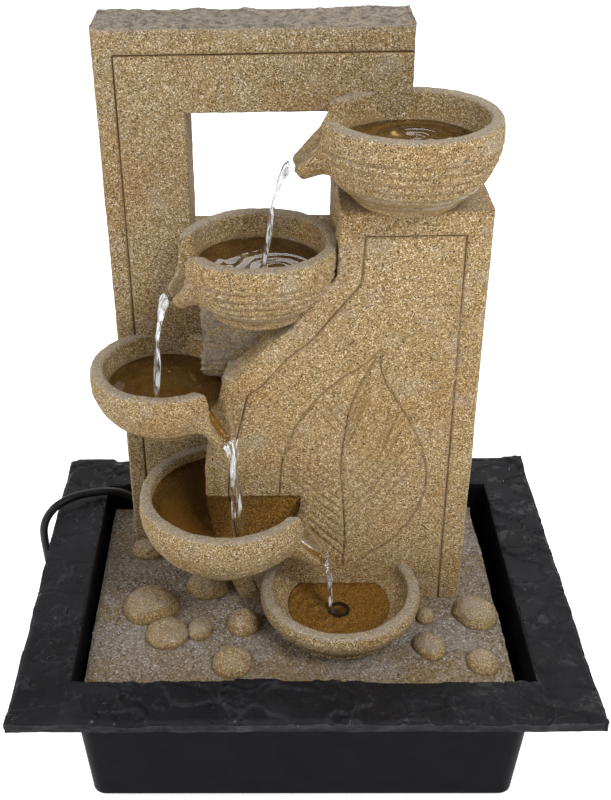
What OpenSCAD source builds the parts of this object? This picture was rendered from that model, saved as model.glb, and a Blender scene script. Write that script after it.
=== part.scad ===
// Tabletop water fountain. A slate-look basin holds a sand deck, and on the
// deck stands a sandstone tower with five bowls, each spilling into the next.
// A small submersible pump under the deck feeds the top bowl.
// +X is right, +Y is back and +Z is up. The origin is on the table, under the
// middle of the basin.

/* [Basin] */
// Width of the basin's rim, side to side
rim_w = 305; // [290:1:420]
// Depth of the basin's rim, front to back
rim_d = 234; // [222:1:320]
// Width of the rim's border all round
border = 30; // [20:1:36]
// Thickness of the rim
rim_t = 7; // [4:0.5:12]
// Height of the rim's top above the table
basin_h = 98; // [82:1:140]
// Wall thickness of the tub
tub_wall = 3; // [2:0.5:6]
// How much the tub narrows on each side from top to bottom
tub_draft = 5.5; // [0:0.5:12]
// Outside corner radius of the tub
tub_corner_r = 8; // [4:1:20]
// Radius of a rubber foot
foot_r = 8; // [5:0.5:14]
// Height that a foot stands proud
foot_h = 2; // [1:0.5:6]

/* [Deck] */
// Drop from the rim's top to the deck's top
deck_drop = 14; // [8:1:24]
// Thickness of the deck
deck_t = 5; // [3:0.5:10]
// Gap between the deck and the rim's left edge
deck_gap_left = 4; // [2:0.5:14]
// Gap between the deck and the rim's right edge
deck_gap_right = 9; // [2:0.5:14]
// Gap between the deck and the rim's back edge
deck_gap_back = 6.5; // [2:0.5:10]
// Gap between the deck and the rim's front edge
deck_gap_front = 4; // [2:0.5:14]
// Radius of a deck support
support_r = 7; // [4:0.5:12]
// Distance from the rim's inner edge to a support's centre
support_inset = 27; // [14:1:40]

/* [Back wall] */
// Width of the back wall
wall_w = 154.5; // [130:0.5:190]
// Thickness of the back wall, front to back
wall_t = 38; // [30:1:46]
// Height of the back wall above the deck
wall_h = 316; // [280:1:400]
// Distance from the basin's middle to the wall's left edge
wall_left = 100.5; // [90:0.5:112]
// Distance from the basin's middle back to the wall's front face
wall_face = 37; // [30:1:41]
// Thickness of the tower's cast shell
shell_t = 7; // [4:0.5:10]
// Width of the window
window_w = 73.5; // [50:0.5:80]
// Height of the window
window_h = 68; // [40:1:80]
// Width of the wall to the left of the window
window_side = 44; // [30:0.5:60]
// Height of the wall above the window
window_top = 42; // [30:1:60]

/* [Rear door] */
// Width of the rear door
door_w = 72; // [60:1:76]
// Height of the rear door
door_h = 64; // [50:1:90]
// Thickness of the rear door
door_t = 4; // [3:0.5:5]
// Height of the door's lower edge above the rim's top
door_rise = 5; // [4:1:20]
// Width of the ledge that the door seats against
door_ledge = 4; // [2:0.5:8]
// Clearance round the door
door_gap = 0.6; // [0.3:0.1:1.5]
// Radius of the finger hole in the door
finger_r = 9; // [7:0.5:12]
// Height of the finger hole's centre above the door's lower edge
finger_rise = 45; // [20:1:60]
// How far the door pulls out
door_travel = 40; // [20:1:80]

/* [Front panel] */
// Distance from the basin's middle to the panel's right edge
panel_right = 90.5; // [80:0.5:100]
// How much further right the panel reaches at its foot
panel_flare = 3; // [0:0.5:6]
// Depth of the panel, front to back
panel_t = 46; // [38:1:52]
// Width of the column at its top
column_w = 72.5; // [66:0.5:90]
// Height of the column above the deck
column_h = 241; // [220:1:280]

/* [Bowls] */
// Height of the first bowl's rim above the deck
bowl_1_rim = 284; // [270:1:320]
// Height of the second bowl's rim above the deck
bowl_2_rim = 222; // [214:1:240]
// Height of the third bowl's rim above the deck
bowl_3_rim = 152; // [140:1:170]
// Height of the fourth bowl's rim above the deck
bowl_4_rim = 81.5; // [70:0.5:100]
// Height of the fifth bowl's rim above the deck
bowl_5_rim = 26; // [22:1:34]
// Outer radius of the first bowl
bowl_1_r = 42; // [34:0.5:52]
// Outer radius of the second bowl
bowl_2_r = 39.5; // [32:0.5:46]
// Outer radius of the third bowl
bowl_3_r = 39; // [32:0.5:46]
// Outer radius of the fourth bowl
bowl_4_r = 47; // [38:0.5:57]
// Outer radius of the fifth bowl
bowl_5_r = 44; // [36:0.5:52]
// Height of the second bowl's body
bowl_2_h = 39; // [32:1:46]
// Height of the third bowl's body
bowl_3_h = 36; // [30:1:44]
// Height of the fourth bowl's body
bowl_4_h = 43; // [36:1:52]
// Width of a bowl's rim
lip = 6.5; // [4:0.5:9]
// Radius of the drain hole in the fifth bowl
drain_r = 4.5; // [3:0.25:6]

/* [Pump] */
// Length of the pump's housing
pump_l = 50; // [44:1:60]
// Width of the pump's housing
pump_w = 34; // [30:1:40]
// Height of the pump's housing
pump_h = 36; // [32:1:42]
// Wall thickness of the housing
pump_wall = 2; // [1.5:0.25:3]
// Radius of the impeller's chamber
chamber_r = 11; // [9:0.5:13]
// Length of the impeller's chamber
chamber_l = 14; // [10:0.5:18]
// Radius of the well that the impeller's magnet turns in
well_r = 6.5; // [5:0.25:8]
// Radius of the impeller's shaft
shaft_r = 1.2; // [0.8:0.1:2]
// Radial clearance of the impeller on its shaft
shaft_gap = 0.05; // [0.02:0.01:0.1]
// Number of blades on the impeller
blades = 6; // [3:1:8]
// Thickness of the front cover
cover_t = 6; // [4:0.5:8]
// How far the cover pulls off
cover_travel = 25; // [10:1:30]
// Radius of the flow dial
dial_r = 10; // [8:0.5:12]
// Thickness of the flow dial
dial_t = 3; // [2:0.5:5]
// Outer radius of the riser tube
riser_r = 6.5; // [5:0.25:8]
// Wall thickness of the riser tube
riser_wall = 1.5; // [1:0.25:2]
// Clearance of the riser tube in the holes it passes
riser_gap = 0.4; // [0.2:0.1:1]

/* [Cord] */
// Diameter of the mains cord
cord_d = 5.2; // [5:0.1:7]
// Mean radius of the wound coil
coil_r = 28.5; // [26:0.5:32]
// Length of the plug's body
plug_l = 30; // [24:1:36]
// Width of the plug's body
plug_w = 24; // [20:1:28]
// Thickness of the plug's body
plug_t = 14; // [12:0.5:18]
// Distance between the plug's two blades
blade_pitch = 12.7; // [12.7]

/* [Hidden] */

// Colours of the real pieces
sand = [0.72, 0.57, 0.36];
sand_grey = [0.62, 0.54, 0.44];
slate = [0.16, 0.16, 0.18];
black = [0.06, 0.06, 0.07];
clear = [0.85, 0.88, 0.88];
steel = [0.7, 0.71, 0.73];
copper = [0.72, 0.42, 0.2];
white = [0.9, 0.9, 0.88];
blue = [0.15, 0.25, 0.45];

// Rim, tub and deck
open_w = rim_w - 2 * border;
open_d = rim_d - 2 * border;
tub_top_w = open_w + 2 * tub_wall;
tub_top_d = open_d + 2 * tub_wall;
tub_low_w = tub_top_w - 2 * tub_draft;
tub_low_d = tub_top_d - 2 * tub_draft;
inner_corner_r = tub_corner_r - tub_wall;
floor_z = foot_h + tub_wall;
deck_z = basin_h - deck_drop;
deck_x0 = -open_w / 2 + deck_gap_left;
deck_x1 = open_w / 2 - deck_gap_right;
deck_y0 = -open_d / 2 + deck_gap_front;
deck_y1 = open_d / 2 - deck_gap_back;
thin = 0.01;
over = 1;

// Back wall
wall_x0 = -wall_left;
wall_x1 = wall_x0 + wall_w;
wall_back = wall_face + wall_t;
wall_top = deck_z + wall_h;
window_x0 = wall_x0 + window_side;
window_x1 = window_x0 + window_w;
window_z1 = wall_top - window_top;
window_z0 = window_z1 - window_h;

// Front panel, whose left edge steps down beside the bowls
panel_y0 = wall_face - panel_t;
column_x0 = panel_right - column_w;
column_top = deck_z + column_h;
slope = [
    [0, 0], [-1.5, -33], [-14, -49], [-23, -61], [-34, -70],
    [-47, -86], [-57.5, -94]
];
waist = [[-47.5, 112], [-51.5, 91], [-52.5, 76], [-48, 41], [-41, 17], [-35, 0]];
outline = concat(
    [for (p = slope) [column_x0 + p[0], column_top + p[1]]],
    [for (p = waist) [p[0], deck_z + p[1]]],
    [[panel_right + panel_flare, deck_z], [panel_right, column_top]]
);

// Stones on the deck: centre, radius and height above the deck
stones = [
    [[-91, 37], 12, 9], [[-87, -17], 16, 12], [[-76, -39], 12, 7], [[-57, -36], 8, 6],
    [[-54, 2], 13, 10], [[-32, -31], 9, 9], [[-38, -62], 11, 8], [[100, -24], 13, 9],
    [[99, -62], 9, 7], [[71, -26], 6, 5], [[71, -50], 10, 7]
];

// Service space inside the foot of the tower
bay_x0 = -28;
bay_x1 = wall_x1 - shell_t;
bay_z1 = deck_z + 82;
flue_x0 = column_x0 + shell_t;
flue_x1 = panel_right - shell_t;
flue_y0 = panel_y0 + shell_t;
flue_y1 = wall_face - shell_t;

// Rear door
door_x0 = bay_x1 - door_ledge - door_w;
door_z0 = basin_h + door_rise;

// Bowls: centre, height of the foot and body height
bowl_1_at = [column_x0 + 32, panel_y0 + 13];
bowl_2_at = [column_x0 - bowl_2_r, wall_face - 31];
bowl_3_at = [wall_x0 + 29, wall_face - 31.5];
bowl_4_at = [-41, wall_face - bowl_4_r - 1];
bowl_5_at = [22, panel_y0 - 18];
bowl_2_z = deck_z + bowl_2_rim - bowl_2_h;
bowl_3_z = deck_z + bowl_3_rim - bowl_3_h;
bowl_4_z = deck_z + bowl_4_rim - bowl_4_h;
bowl_1_h = bowl_1_rim - column_h;
bowl_5_h = bowl_5_rim;
bowl_floor = 8;
foot_2_r = 22;
foot_3_r = 18;
shelf_x0 = -52;
shelf_w = 66;
shelf_d = 29;
shelf_low = 14;
shelf_up = 12;

// Pump, which stands on the floor below the flue with its intake to the right
riser_x = bowl_1_at[0] + 4;
riser_y = bowl_1_at[1] + 8;
cup_h = 3;
pump_z0 = floor_z + cup_h;
pump_x1 = riser_x + chamber_l / 2 + 1;
pump_x0 = pump_x1 - pump_l;
shaft_z = pump_z0 + pump_h / 2;
cap_t = 3;
outlet_r = 3.5;
nozzle_r = riser_r - riser_wall;
boss_h = 4;
nozzle_h = 14;
inlet_flange_r = riser_r + 3;
inlet_flange_h = 2;
inlet_stem = 14;
inlet_bore = 4;
boss_top = pump_z0 + pump_h + boss_h;
bowl_1_floor = column_top + bowl_floor;
stator_y = 22;
blade_r = chamber_r - 1.2;
magnet_r = well_r - 0.9;
magnet_l = 17;
hub_r = 3.2;
vane_t = 1.2;
disc_t = 1.5;
chamber_x0 = pump_x1 - chamber_l;
well_x0 = chamber_x0 - magnet_l - 2;
arm_l = 22;
arm_t = 4;
arm_h = 14;
arm_x0 = chamber_x0 - pump_wall - arm_l - over;
slot_w = 3;
key_z = 8;
spindle_r = 3;

// Cord: where it leaves the pump, goes up behind the tower, over the rim and
// back along the table to the coil
gland_l = 24;
gland_r = 4.6;
gland_z = pump_z0 + 14;
cord_r = cord_d / 2;
notch_x0 = -104;
notch_w = 26;
route = [
    [-12, 12, 22], [-20, 12, 22], [-32, 14, 18], [-43, 20, 12], [-53, 31, 8.5],
    [-61, 45, 9.5], [-67, 58, 17], [-72, 69, 29], [-76, 76, 42], [-81, 80, 56],
    [-87, 81, 69], [-95, 81, 80], [-104, 80, 90], [-113, 77.5, 97.6], [-122, 74.5, 101.3],
    [-132, 71, 102.6], [-139, 67.5, 103.3], [-144.5, 64, 103.2], [-149.5, 60.8, 102.3],
    [-154, 58, 100], [-158, 55.5, 95.6], [-160.5, 54, 90], [-161.5, 53.5, 83],
    [-161.5, 54.3, 69], [-161.5, 57, 55],
    [-161, 62, 41], [-160.5, 69, 28], [-160, 78.5, 16], [-159.5, 90, 7.8],
    [-158, 103, 3.6], [-154, 116, 2.6], [-147, 129, 2.6], [-137, 140, 2.6],
    [-124, 149, 2.6], [-110, 154, 2.6], [-96, 156, 2.7], [-84, 156.3, 3],
    [-74, 156.3, 3.2]
];
coil_at = [-60, 190];
coil_turns_wide = 3;
coil_half = coil_turns_wide * cord_r;
coil_h = 9.8;
tie_w = 5;
tie_t = 0.6;
tie_gap = 0.4;
tail = [[-48, 158.9, 7], [-36, 158.9, 7], [-24, 158.9, 7], [-12, 158.9, 7], [0, 158.9, 7]];
plug_x0 = tail[len(tail) - 1][0];
plug_y = tail[len(tail) - 1][1];
plug_neck_l = 16;
plug_neck_r = 4.5;
blade_l = 17;
blade_w = 6.3;
blade_t = 1.5;

module round_slab(w, d, r, h) {
    linear_extrude(h) {
        square([w - 2 * r, d], center = true);
        square([w, d - 2 * r], center = true);
        for (x = [-1, 1], y = [-1, 1]) {
            translate([x * (w / 2 - r), y * (d / 2 - r)]) circle(r, $fn = 32);
        }
    }
}

// A tapering block with rounded corners, wider at the top
module draft_block(low_w, low_d, top_w, top_d, r, z0, z1) {
    hull() {
        translate([0, 0, z0]) round_slab(low_w, low_d, r, thin);
        translate([0, 0, z1 - thin]) round_slab(top_w, top_d, r, thin);
    }
}

module basin() color(slate) difference() {
    union() {
        draft_block(tub_low_w, tub_low_d, tub_top_w, tub_top_d, tub_corner_r,
            foot_h, basin_h - rim_t);
        translate([-rim_w / 2, -rim_d / 2, basin_h - rim_t]) cube([rim_w, rim_d, rim_t]);
    }
    draft_block(tub_low_w - 2 * tub_wall, tub_low_d - 2 * tub_wall, open_w, open_d,
        inner_corner_r, floor_z, basin_h + over);
}

module rubber_feet() color(black) for (x = [-1, 1], y = [-1, 1]) {
    translate([x * (tub_low_w / 2 - 2 * foot_r), y * (tub_low_d / 2 - 2 * foot_r), 0])
        cylinder(h = foot_h, r = foot_r, $fn = 48);
}

// The space that the pump, its riser and a hand pass through
module bay(y0, y1, z0) {
    translate([bay_x0, y0, z0]) cube([bay_x1 - bay_x0, y1 - y0, bay_z1 - z0]);
}

module deck() color(sand_grey) difference() {
    translate([deck_x0, deck_y0, deck_z - deck_t])
        cube([deck_x1 - deck_x0, deck_y1 - deck_y0, deck_t]);
    bay(flue_y0, wall_back - shell_t, deck_z - deck_t - over);
    translate([bay_x1 - over, flue_y0, deck_z - deck_t - over])
        cube([flue_x1 - bay_x1 + over, flue_y1 - flue_y0, deck_t + 2 * over]);
    translate([notch_x0, wall_back + over, deck_z - deck_t - over])
        cube([notch_w, deck_gap_back, deck_t + 2 * over]);
    translate([bowl_5_at[0], bowl_5_at[1], deck_z - deck_t - over])
        cylinder(h = deck_t + 2 * over, r = drain_r + riser_wall, $fn = 48);
}

module deck_supports() color(sand_grey) for (x = [-1, 1], y = [-1, 1]) {
    translate([x * (open_w / 2 - support_inset), y * (open_d / 2 - support_inset), floor_z])
        cylinder(h = deck_z - deck_t - floor_z, r = support_r, $fn = 48);
}

// A rounded stone of radius r that is sunk until it stands h above the deck
module stone(at, r, h) {
    ball_r = (r * r + h * h) / (2 * h);
    translate([at[0], at[1], deck_z]) intersection() {
        translate([0, 0, h - ball_r]) sphere(ball_r, $fn = 48);
        cylinder(h = h + over, r = 2 * r, $fn = 48);
    }
}

module pebbles() color(sand_grey) difference() {
    for (s = stones) stone(s[0], s[1], s[2]);
    tower();
}

module wall_block() {
    difference() {
        translate([wall_x0, wall_face, deck_z]) cube([wall_w, wall_t, wall_h]);
        translate([window_x0, wall_face - over, window_z0])
            cube([window_w, wall_t + 2 * over, window_h]);
    }
}

module wall_hollow() {
    s = shell_t;
    difference() {
        translate([wall_x0 + s, wall_face + s, deck_z - over])
            cube([wall_w - 2 * s, wall_t - 2 * s, wall_h - s + over]);
        translate([window_x0 - s, wall_face, window_z0 - s])
            cube([window_w + 2 * s, wall_t, window_h + 2 * s]);
    }
}

module back_wall() color(sand) difference() {
    wall_block();
    wall_hollow();
    bay(wall_face - over, wall_face + shell_t + over, deck_z - over);
    translate([door_x0, wall_back - door_t, door_z0]) cube([door_w, door_t + over, door_h]);
    translate([door_x0 + door_ledge, wall_back - shell_t - over, door_z0 + door_ledge])
        cube([door_w - 2 * door_ledge, shell_t + over, door_h - 2 * door_ledge]);
}

module access_door() color(sand) difference() {
    translate([door_x0 + door_gap, wall_back - door_t, door_z0 + door_gap])
        cube([door_w - 2 * door_gap, door_t, door_h - 2 * door_gap]);
    translate([door_x0 + door_w / 2, wall_back - door_t - over, door_z0 + finger_rise])
        rotate([-90, 0, 0]) cylinder(h = door_t + 2 * over, r = finger_r, $fn = 64);
}

module panel_block() {
    translate([0, wall_face, 0]) rotate([90, 0, 0]) linear_extrude(panel_t) polygon(outline);
}

module front_panel() color(sand) difference() {
    panel_block();
    translate([flue_x0, flue_y0, deck_z - over])
        cube([flue_x1 - flue_x0, flue_y1 - flue_y0, column_h - shell_t + over]);
    bay(flue_y0, wall_face + over, deck_z - over);
    translate([riser_x, riser_y, column_top - shell_t - over])
        cylinder(h = shell_t + 2 * over, r = riser_r + riser_gap, $fn = 64);
}

// Bowl body: its side swells above the middle and turns in under the rim
function body_line(r, h, foot) = [
    [0, 0], [foot, 0], [r * 0.68, h * 0.14], [r * 0.87, h * 0.33], [r * 0.99, h * 0.58],
    [r * 1.02, h * 0.78], [r, h], [0, h]
];
function hollow_line(r, h, low) = [
    [0, low], [r * 0.42, low], [r * 0.72, low + (h - low) * 0.16],
    [r * 0.92, low + (h - low) * 0.45], [r, h * 0.82], [r, h + over], [0, h + over]
];

module bowl_body(r, h, foot) rotate_extrude($fn = 96) polygon(body_line(r, h, foot));

module bowl_hollow(r, h) rotate_extrude($fn = 96) polygon(hollow_line(r - lip, h, bowl_floor));

// A cone that runs from one point to another and narrows from r0 to r1
module cone(from, to, r0, r1) {
    d = to - from;
    len = norm(d);
    translate(from) rotate([0, acos(d[2] / len), atan2(d[1], d[0])])
        cylinder(h = len, r1 = r0, r2 = r1, $fn = 64);
}

// The lower half of such a cone
module half_cone(from, to, r0, r1) {
    d = to - from;
    len = norm(d);
    difference() {
        cone(from, to, r0, r1);
        translate(from) rotate([0, acos(d[2] / len), atan2(d[1], d[0])])
            translate([-2 * r0, -2 * r0, -over]) cube([2 * r0, 4 * r0, len + 2 * over]);
    }
}

// A bowl with its spout. spout holds the start, the tip and the two outer radii,
// measured from the middle of the bowl's foot.
module bowl(at, z, r, h, foot, spout) {
    wall = lip * 0.75;
    reach = (spout[1] - spout[0]) * 0.1;
    translate([at[0], at[1], z]) difference() {
        union() {
            bowl_body(r, h, foot);
            half_cone(spout[0], spout[1], spout[2], spout[3]);
        }
        bowl_hollow(r, h);
        translate([0, 0, h]) cylinder(h = h, r = 3 * r, $fn = 96);
        cone(spout[0] - reach, spout[1] + reach, spout[2] - wall, spout[3] - wall);
    }
}

// The tower's outside, with its window open or filled
module tower(windowed = false) {
    if (windowed) {
        wall_block();
    } else {
        translate([wall_x0, wall_face, deck_z]) cube([wall_w, wall_t, wall_h]);
    }
    panel_block();
}

module bowl_1_shape(at = bowl_1_at) bowl(at, column_top, bowl_1_r, bowl_1_h, 20,
    [[-14, 6, bowl_1_h + 2], [-55, 4, 18], 26, 9]);

module bowl_1() color(sand) difference() {
    bowl_1_shape();
    tower();
    translate([riser_x, riser_y, column_top - over])
        cylinder(h = bowl_floor + 2 * over, r = riser_r + riser_gap, $fn = 64);
    translate([riser_x, riser_y, bowl_1_floor])
        cylinder(h = inlet_flange_h + over, r = inlet_flange_r + riser_gap, $fn = 64);
}

module bowl_2() color(sand) difference() {
    bowl(bowl_2_at, bowl_2_z, bowl_2_r, bowl_2_h, foot_2_r,
        [[-12, -2, bowl_2_h + 2], [-45, -10, 13], 24, 9]);
    tower(windowed = true);
}

module bowl_3() color(sand) difference() {
    bowl(bowl_3_at, bowl_3_z, bowl_3_r, bowl_3_h, foot_3_r,
        [[12, -12, bowl_3_h + 1.5], [34, -28, 6], 17, 8]);
    tower();
}

module bowl_4() color(sand) difference() {
    bowl(bowl_4_at, bowl_4_z, bowl_4_r, bowl_4_h, 24,
        [[14, -6, bowl_4_h + 1], [54, -12, 5], 24, 8]);
    tower();
}

module bowl_5() color(sand) difference() {
    translate([bowl_5_at[0], bowl_5_at[1], deck_z]) difference() {
        bowl_body(bowl_5_r, bowl_5_h, bowl_5_r * 0.72);
        bowl_hollow(bowl_5_r, bowl_5_h);
        translate([0, 0, -over]) cylinder(h = bowl_5_h, r = drain_r + riser_wall, $fn = 48);
    }
    tower();
}

// The rough ledge between the panel's slope and the second bowl
module rock_shelf() color(sand) difference() {
    translate([shelf_x0, wall_face - shelf_d, bowl_3_z + bowl_3_h - shelf_low])
        cube([shelf_w, shelf_d, bowl_2_z - bowl_3_z - bowl_3_h + shelf_low + shelf_up]);
    tower();
    translate([bowl_2_at[0], bowl_2_at[1], bowl_2_z]) bowl_body(bowl_2_r, bowl_2_h, foot_2_r);
    translate([bowl_3_at[0], bowl_3_at[1], bowl_3_z]) bowl_body(bowl_3_r, bowl_3_h, foot_3_r);
}

module pipe(at, z0, z1, r, wall) {
    translate([at[0], at[1], z0]) difference() {
        cylinder(h = z1 - z0, r = r, $fn = 64);
        translate([0, 0, -over]) cylinder(h = z1 - z0 + 2 * over, r = r - wall, $fn = 64);
    }
}

module drain_grommet() color(black) {
    pipe(bowl_5_at, deck_z - deck_t - 3, deck_z + bowl_floor, drain_r + riser_wall, riser_wall);
}

module bowl_inlet() color(sand_grey) {
    at = [riser_x, riser_y];
    pipe(at, bowl_1_floor, bowl_1_floor + inlet_flange_h, inlet_flange_r, inlet_flange_r - inlet_bore);
    pipe(at, bowl_1_floor - inlet_stem, bowl_1_floor, nozzle_r, nozzle_r - inlet_bore);
}

module riser_tube() color(clear) {
    pipe([riser_x, riser_y], boss_top, bowl_1_floor, riser_r, riser_wall);
}

module along_x(x0, x1, r, y = riser_y, z = shaft_z) {
    translate([x0, y, z]) rotate([0, 90, 0]) cylinder(h = x1 - x0, r = r, $fn = 64);
}

module pump_box(x0, x1, inset) {
    translate([x0, riser_y - pump_w / 2 + inset, pump_z0 + inset])
        cube([x1 - x0, pump_w - 2 * inset, pump_h - 2 * inset]);
}

module pump_housing() color(black) difference() {
    union() {
        pump_box(pump_x0 + cap_t, pump_x1, 0);
        translate([riser_x, riser_y, pump_z0 + pump_h]) cylinder(h = boss_h, r = riser_r + 1, $fn = 64);
        translate([riser_x, riser_y, boss_top]) cylinder(h = nozzle_h, r = nozzle_r, $fn = 64);
    }
    difference() {
        pump_box(pump_x0 + cap_t - over, chamber_x0 - pump_wall, pump_wall);
        along_x(well_x0 - pump_wall, chamber_x0, well_r + pump_wall);
    }
    along_x(chamber_x0, pump_x1 + over, chamber_r);
    along_x(well_x0, chamber_x0 + over, well_r);
    translate([riser_x, riser_y, shaft_z])
        cylinder(h = pump_h + nozzle_h, r = outlet_r, $fn = 64);
}

module pump_rear_cap() color(black) difference() {
    pump_box(pump_x0, pump_x0 + cap_t, 0);
    along_x(pump_x0 - over, pump_x0 + cap_t + over, cord_r + 0.2, riser_y, gland_z);
}

// Steel core whose two arms stand each side of the magnet's well
module pump_stator() color(steel) {
    gap = well_r + pump_wall + 0.4;
    for (side = [-1, 1]) {
        translate([arm_x0, riser_y + side * (gap + arm_t / 2) - arm_t / 2, shaft_z - arm_h / 2])
            cube([arm_l, arm_t, arm_h]);
    }
    translate([arm_x0 - arm_t, riser_y - gap - arm_t, shaft_z - arm_h / 2])
        cube([arm_t, 2 * (gap + arm_t), arm_h]);
}

module pump_coil() color(copper) {
    play = 0.5;
    translate([arm_x0 + play, riser_y, shaft_z]) rotate([0, 90, 0])
        cylinder(h = well_x0 - pump_wall - arm_x0 - 2 * play, r = well_r, $fn = 48);
}

module impeller_shaft() color(white) along_x(well_x0, pump_x1 + 3, shaft_r);

module impeller() color(blue) difference() {
    x0 = chamber_x0 + 1.5;
    x1 = pump_x1 - 2;
    union() {
        along_x(chamber_x0 - magnet_l, x0, magnet_r);
        along_x(x0, x0 + disc_t, blade_r);
        along_x(x0, x1, hub_r);
        for (k = [0 : blades - 1]) {
            translate([x0, riser_y, shaft_z]) rotate([k * 360 / blades, 0, 0])
                translate([0, -vane_t / 2, hub_r - 0.5]) cube([x1 - x0, vane_t, blade_r - hub_r]);
        }
    }
    along_x(chamber_x0 - magnet_l - over, pump_x1, shaft_r + shaft_gap);
}

module pump_cover() color(black) difference() {
    union() {
        pump_box(pump_x1, pump_x1 + cover_t, 0);
        along_x(pump_x1 + cover_t, pump_x1 + cover_t + dial_t, spindle_r);
    }
    along_x(pump_x1 - over, pump_x1 + 3, shaft_r + shaft_gap);
    for (k = [-2, -1, 1, 2], row = [-1, 1]) {
        translate([pump_x1 - over, riser_y + (4 * k - 1) * slot_w / 2, shaft_z + (4 * row - 1) * slot_w])
            cube([cover_t + 2 * over, slot_w, 2 * slot_w]);
    }
    translate([pump_x1 - over, riser_y - slot_w / 2, shaft_z - key_z])
        cube([cover_t + 2 * over, slot_w, slot_w]);
}

module flow_dial() color(white) difference() {
    x0 = pump_x1 + cover_t;
    along_x(x0, x0 + dial_t, dial_r);
    along_x(x0 - over, x0 + dial_t + over, spindle_r + shaft_gap);
    translate([x0 - over, riser_y - slot_w / 2, shaft_z - key_z])
        cube([dial_t + 2 * over, slot_w, slot_w]);
}

module suction_cups() color(black) for (x = [pump_x0 + 9, pump_x1 - 8], y = [-1, 1]) {
    translate([x, riser_y + y * (pump_w / 2 - 7), floor_z]) cylinder(h = cup_h, r1 = 6, r2 = 3.5, $fn = 48);
}

module cord_gland() color(black) {
    translate([pump_x0, riser_y, gland_z]) rotate([0, -90, 0])
        cylinder(h = gland_l, r1 = gland_r, r2 = cord_r + 0.4, $fn = 48);
}

function unit(v) = v / norm(v);
function heading(p, i) = unit(p[min(i + 1, len(p) - 1)] - p[max(i - 1, 0)]);
function square_to(v, t) = unit(v - (v * t) * t);
function sides(p, i = 0, last = [0, 0, 1]) = i == len(p) ? [] :
    let (s = square_to(last, heading(p, i))) concat([s], sides(p, i + 1, s));

// A tube of radius r whose rings are square to the route at its own points
module sweep(p, r, n = 10) {
    s = sides(p);
    pts = [for (i = [0 : len(p) - 1], k = [0 : n - 1])
        let (t = heading(p, i), a = 360 * k / n)
        p[i] + r * (cos(a) * s[i] + sin(a) * cross(t, s[i]))];
    walls = [for (i = [0 : len(p) - 2], k = [0 : n - 1], half = [0, 1])
        let (a = i * n + k, b = i * n + (k + 1) % n)
        half == 0 ? [a, b, b + n] : [a, b + n, a + n]];
    first = [for (k = [n - 1 : -1 : 0]) k];
    last = [for (k = [0 : n - 1]) (len(p) - 1) * n + k];
    polyhedron(pts, concat([first], walls, [last]));
}

module cord_run() color(black) sweep(route, cord_r);

module cord_tail() color(black) sweep(tail, cord_r);

module cord_coil() color(black) translate([coil_at[0], coil_at[1], tie_t]) {
    rotate_extrude($fn = 96)
        translate([coil_r - coil_half, 0]) square([2 * coil_half, coil_h]);
}

// The tie goes round the turns at the far side of the coil
module cord_tie() color(black) {
    inside = 2 * (coil_half + tie_gap);
    translate([coil_at[0] - tie_w / 2, coil_at[1] + coil_r - inside / 2, 0]) difference() {
        translate([0, -tie_t, 0]) cube([tie_w, inside + 2 * tie_t, coil_h + 2 * tie_t]);
        translate([-over, 0, tie_t]) cube([tie_w + 2 * over, inside, coil_h]);
    }
}

module plug_body() color(black) {
    translate([plug_x0, plug_y, plug_t / 2]) rotate([0, 90, 0])
        cylinder(h = plug_neck_l, r1 = cord_r + 0.5, r2 = plug_neck_r, $fn = 48);
    translate([plug_x0 + plug_neck_l, plug_y - plug_w / 2, 0]) cube([plug_l, plug_w, plug_t]);
}

module plug_blades() color(steel) for (side = [-1, 1]) {
    translate([plug_x0 + plug_neck_l + plug_l, plug_y + side * blade_pitch / 2 - blade_t / 2,
        (plug_t - blade_w) / 2]) cube([blade_l, blade_t, blade_w]);
}

basin();
rubber_feet();
deck();
deck_supports();
pebbles();
back_wall();
access_door();
front_panel();
rock_shelf();
bowl_1();
bowl_2();
bowl_3();
bowl_4();
bowl_5();
drain_grommet();
bowl_inlet();
riser_tube();
pump_housing();
pump_rear_cap();
pump_stator();
pump_coil();
impeller_shaft();
impeller();
pump_cover();
flow_dial();
suction_cups();
cord_gland();
cord_run();
cord_coil();
cord_tie();
cord_tail();
plug_body();
plug_blades();
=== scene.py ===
"""Tabletop water fountain: the finishes, cast stone, slate basin, water and cord.

Every length is in metres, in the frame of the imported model: +X is right, +Y is
back, +Z is up, and the origin is on the table under the basin's middle.
"""
import logging
import math
from dataclasses import dataclass
from enum import Enum
from typing import Any, Callable, Sequence

import bmesh
import bpy
import numpy as np
from mathutils import Matrix, Vector


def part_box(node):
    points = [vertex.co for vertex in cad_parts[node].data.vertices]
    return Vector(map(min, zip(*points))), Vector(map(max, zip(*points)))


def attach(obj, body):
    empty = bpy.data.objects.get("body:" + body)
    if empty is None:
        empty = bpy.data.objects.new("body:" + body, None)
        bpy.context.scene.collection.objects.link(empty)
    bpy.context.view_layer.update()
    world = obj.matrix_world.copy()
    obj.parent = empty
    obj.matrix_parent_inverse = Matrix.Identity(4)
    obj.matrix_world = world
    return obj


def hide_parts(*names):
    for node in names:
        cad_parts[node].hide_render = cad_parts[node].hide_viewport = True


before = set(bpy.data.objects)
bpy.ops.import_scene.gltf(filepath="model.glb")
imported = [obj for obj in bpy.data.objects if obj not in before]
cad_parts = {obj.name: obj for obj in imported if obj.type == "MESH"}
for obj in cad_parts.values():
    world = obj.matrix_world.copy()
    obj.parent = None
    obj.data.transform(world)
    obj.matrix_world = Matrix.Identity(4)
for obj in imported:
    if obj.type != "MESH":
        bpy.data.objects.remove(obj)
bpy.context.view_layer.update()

MM = 0.001
log = logging.getLogger("fountain")
Array = np.ndarray
Pair = tuple[float, float]
Triple = tuple[float, float, float]
Obj = bpy.types.Object


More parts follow.
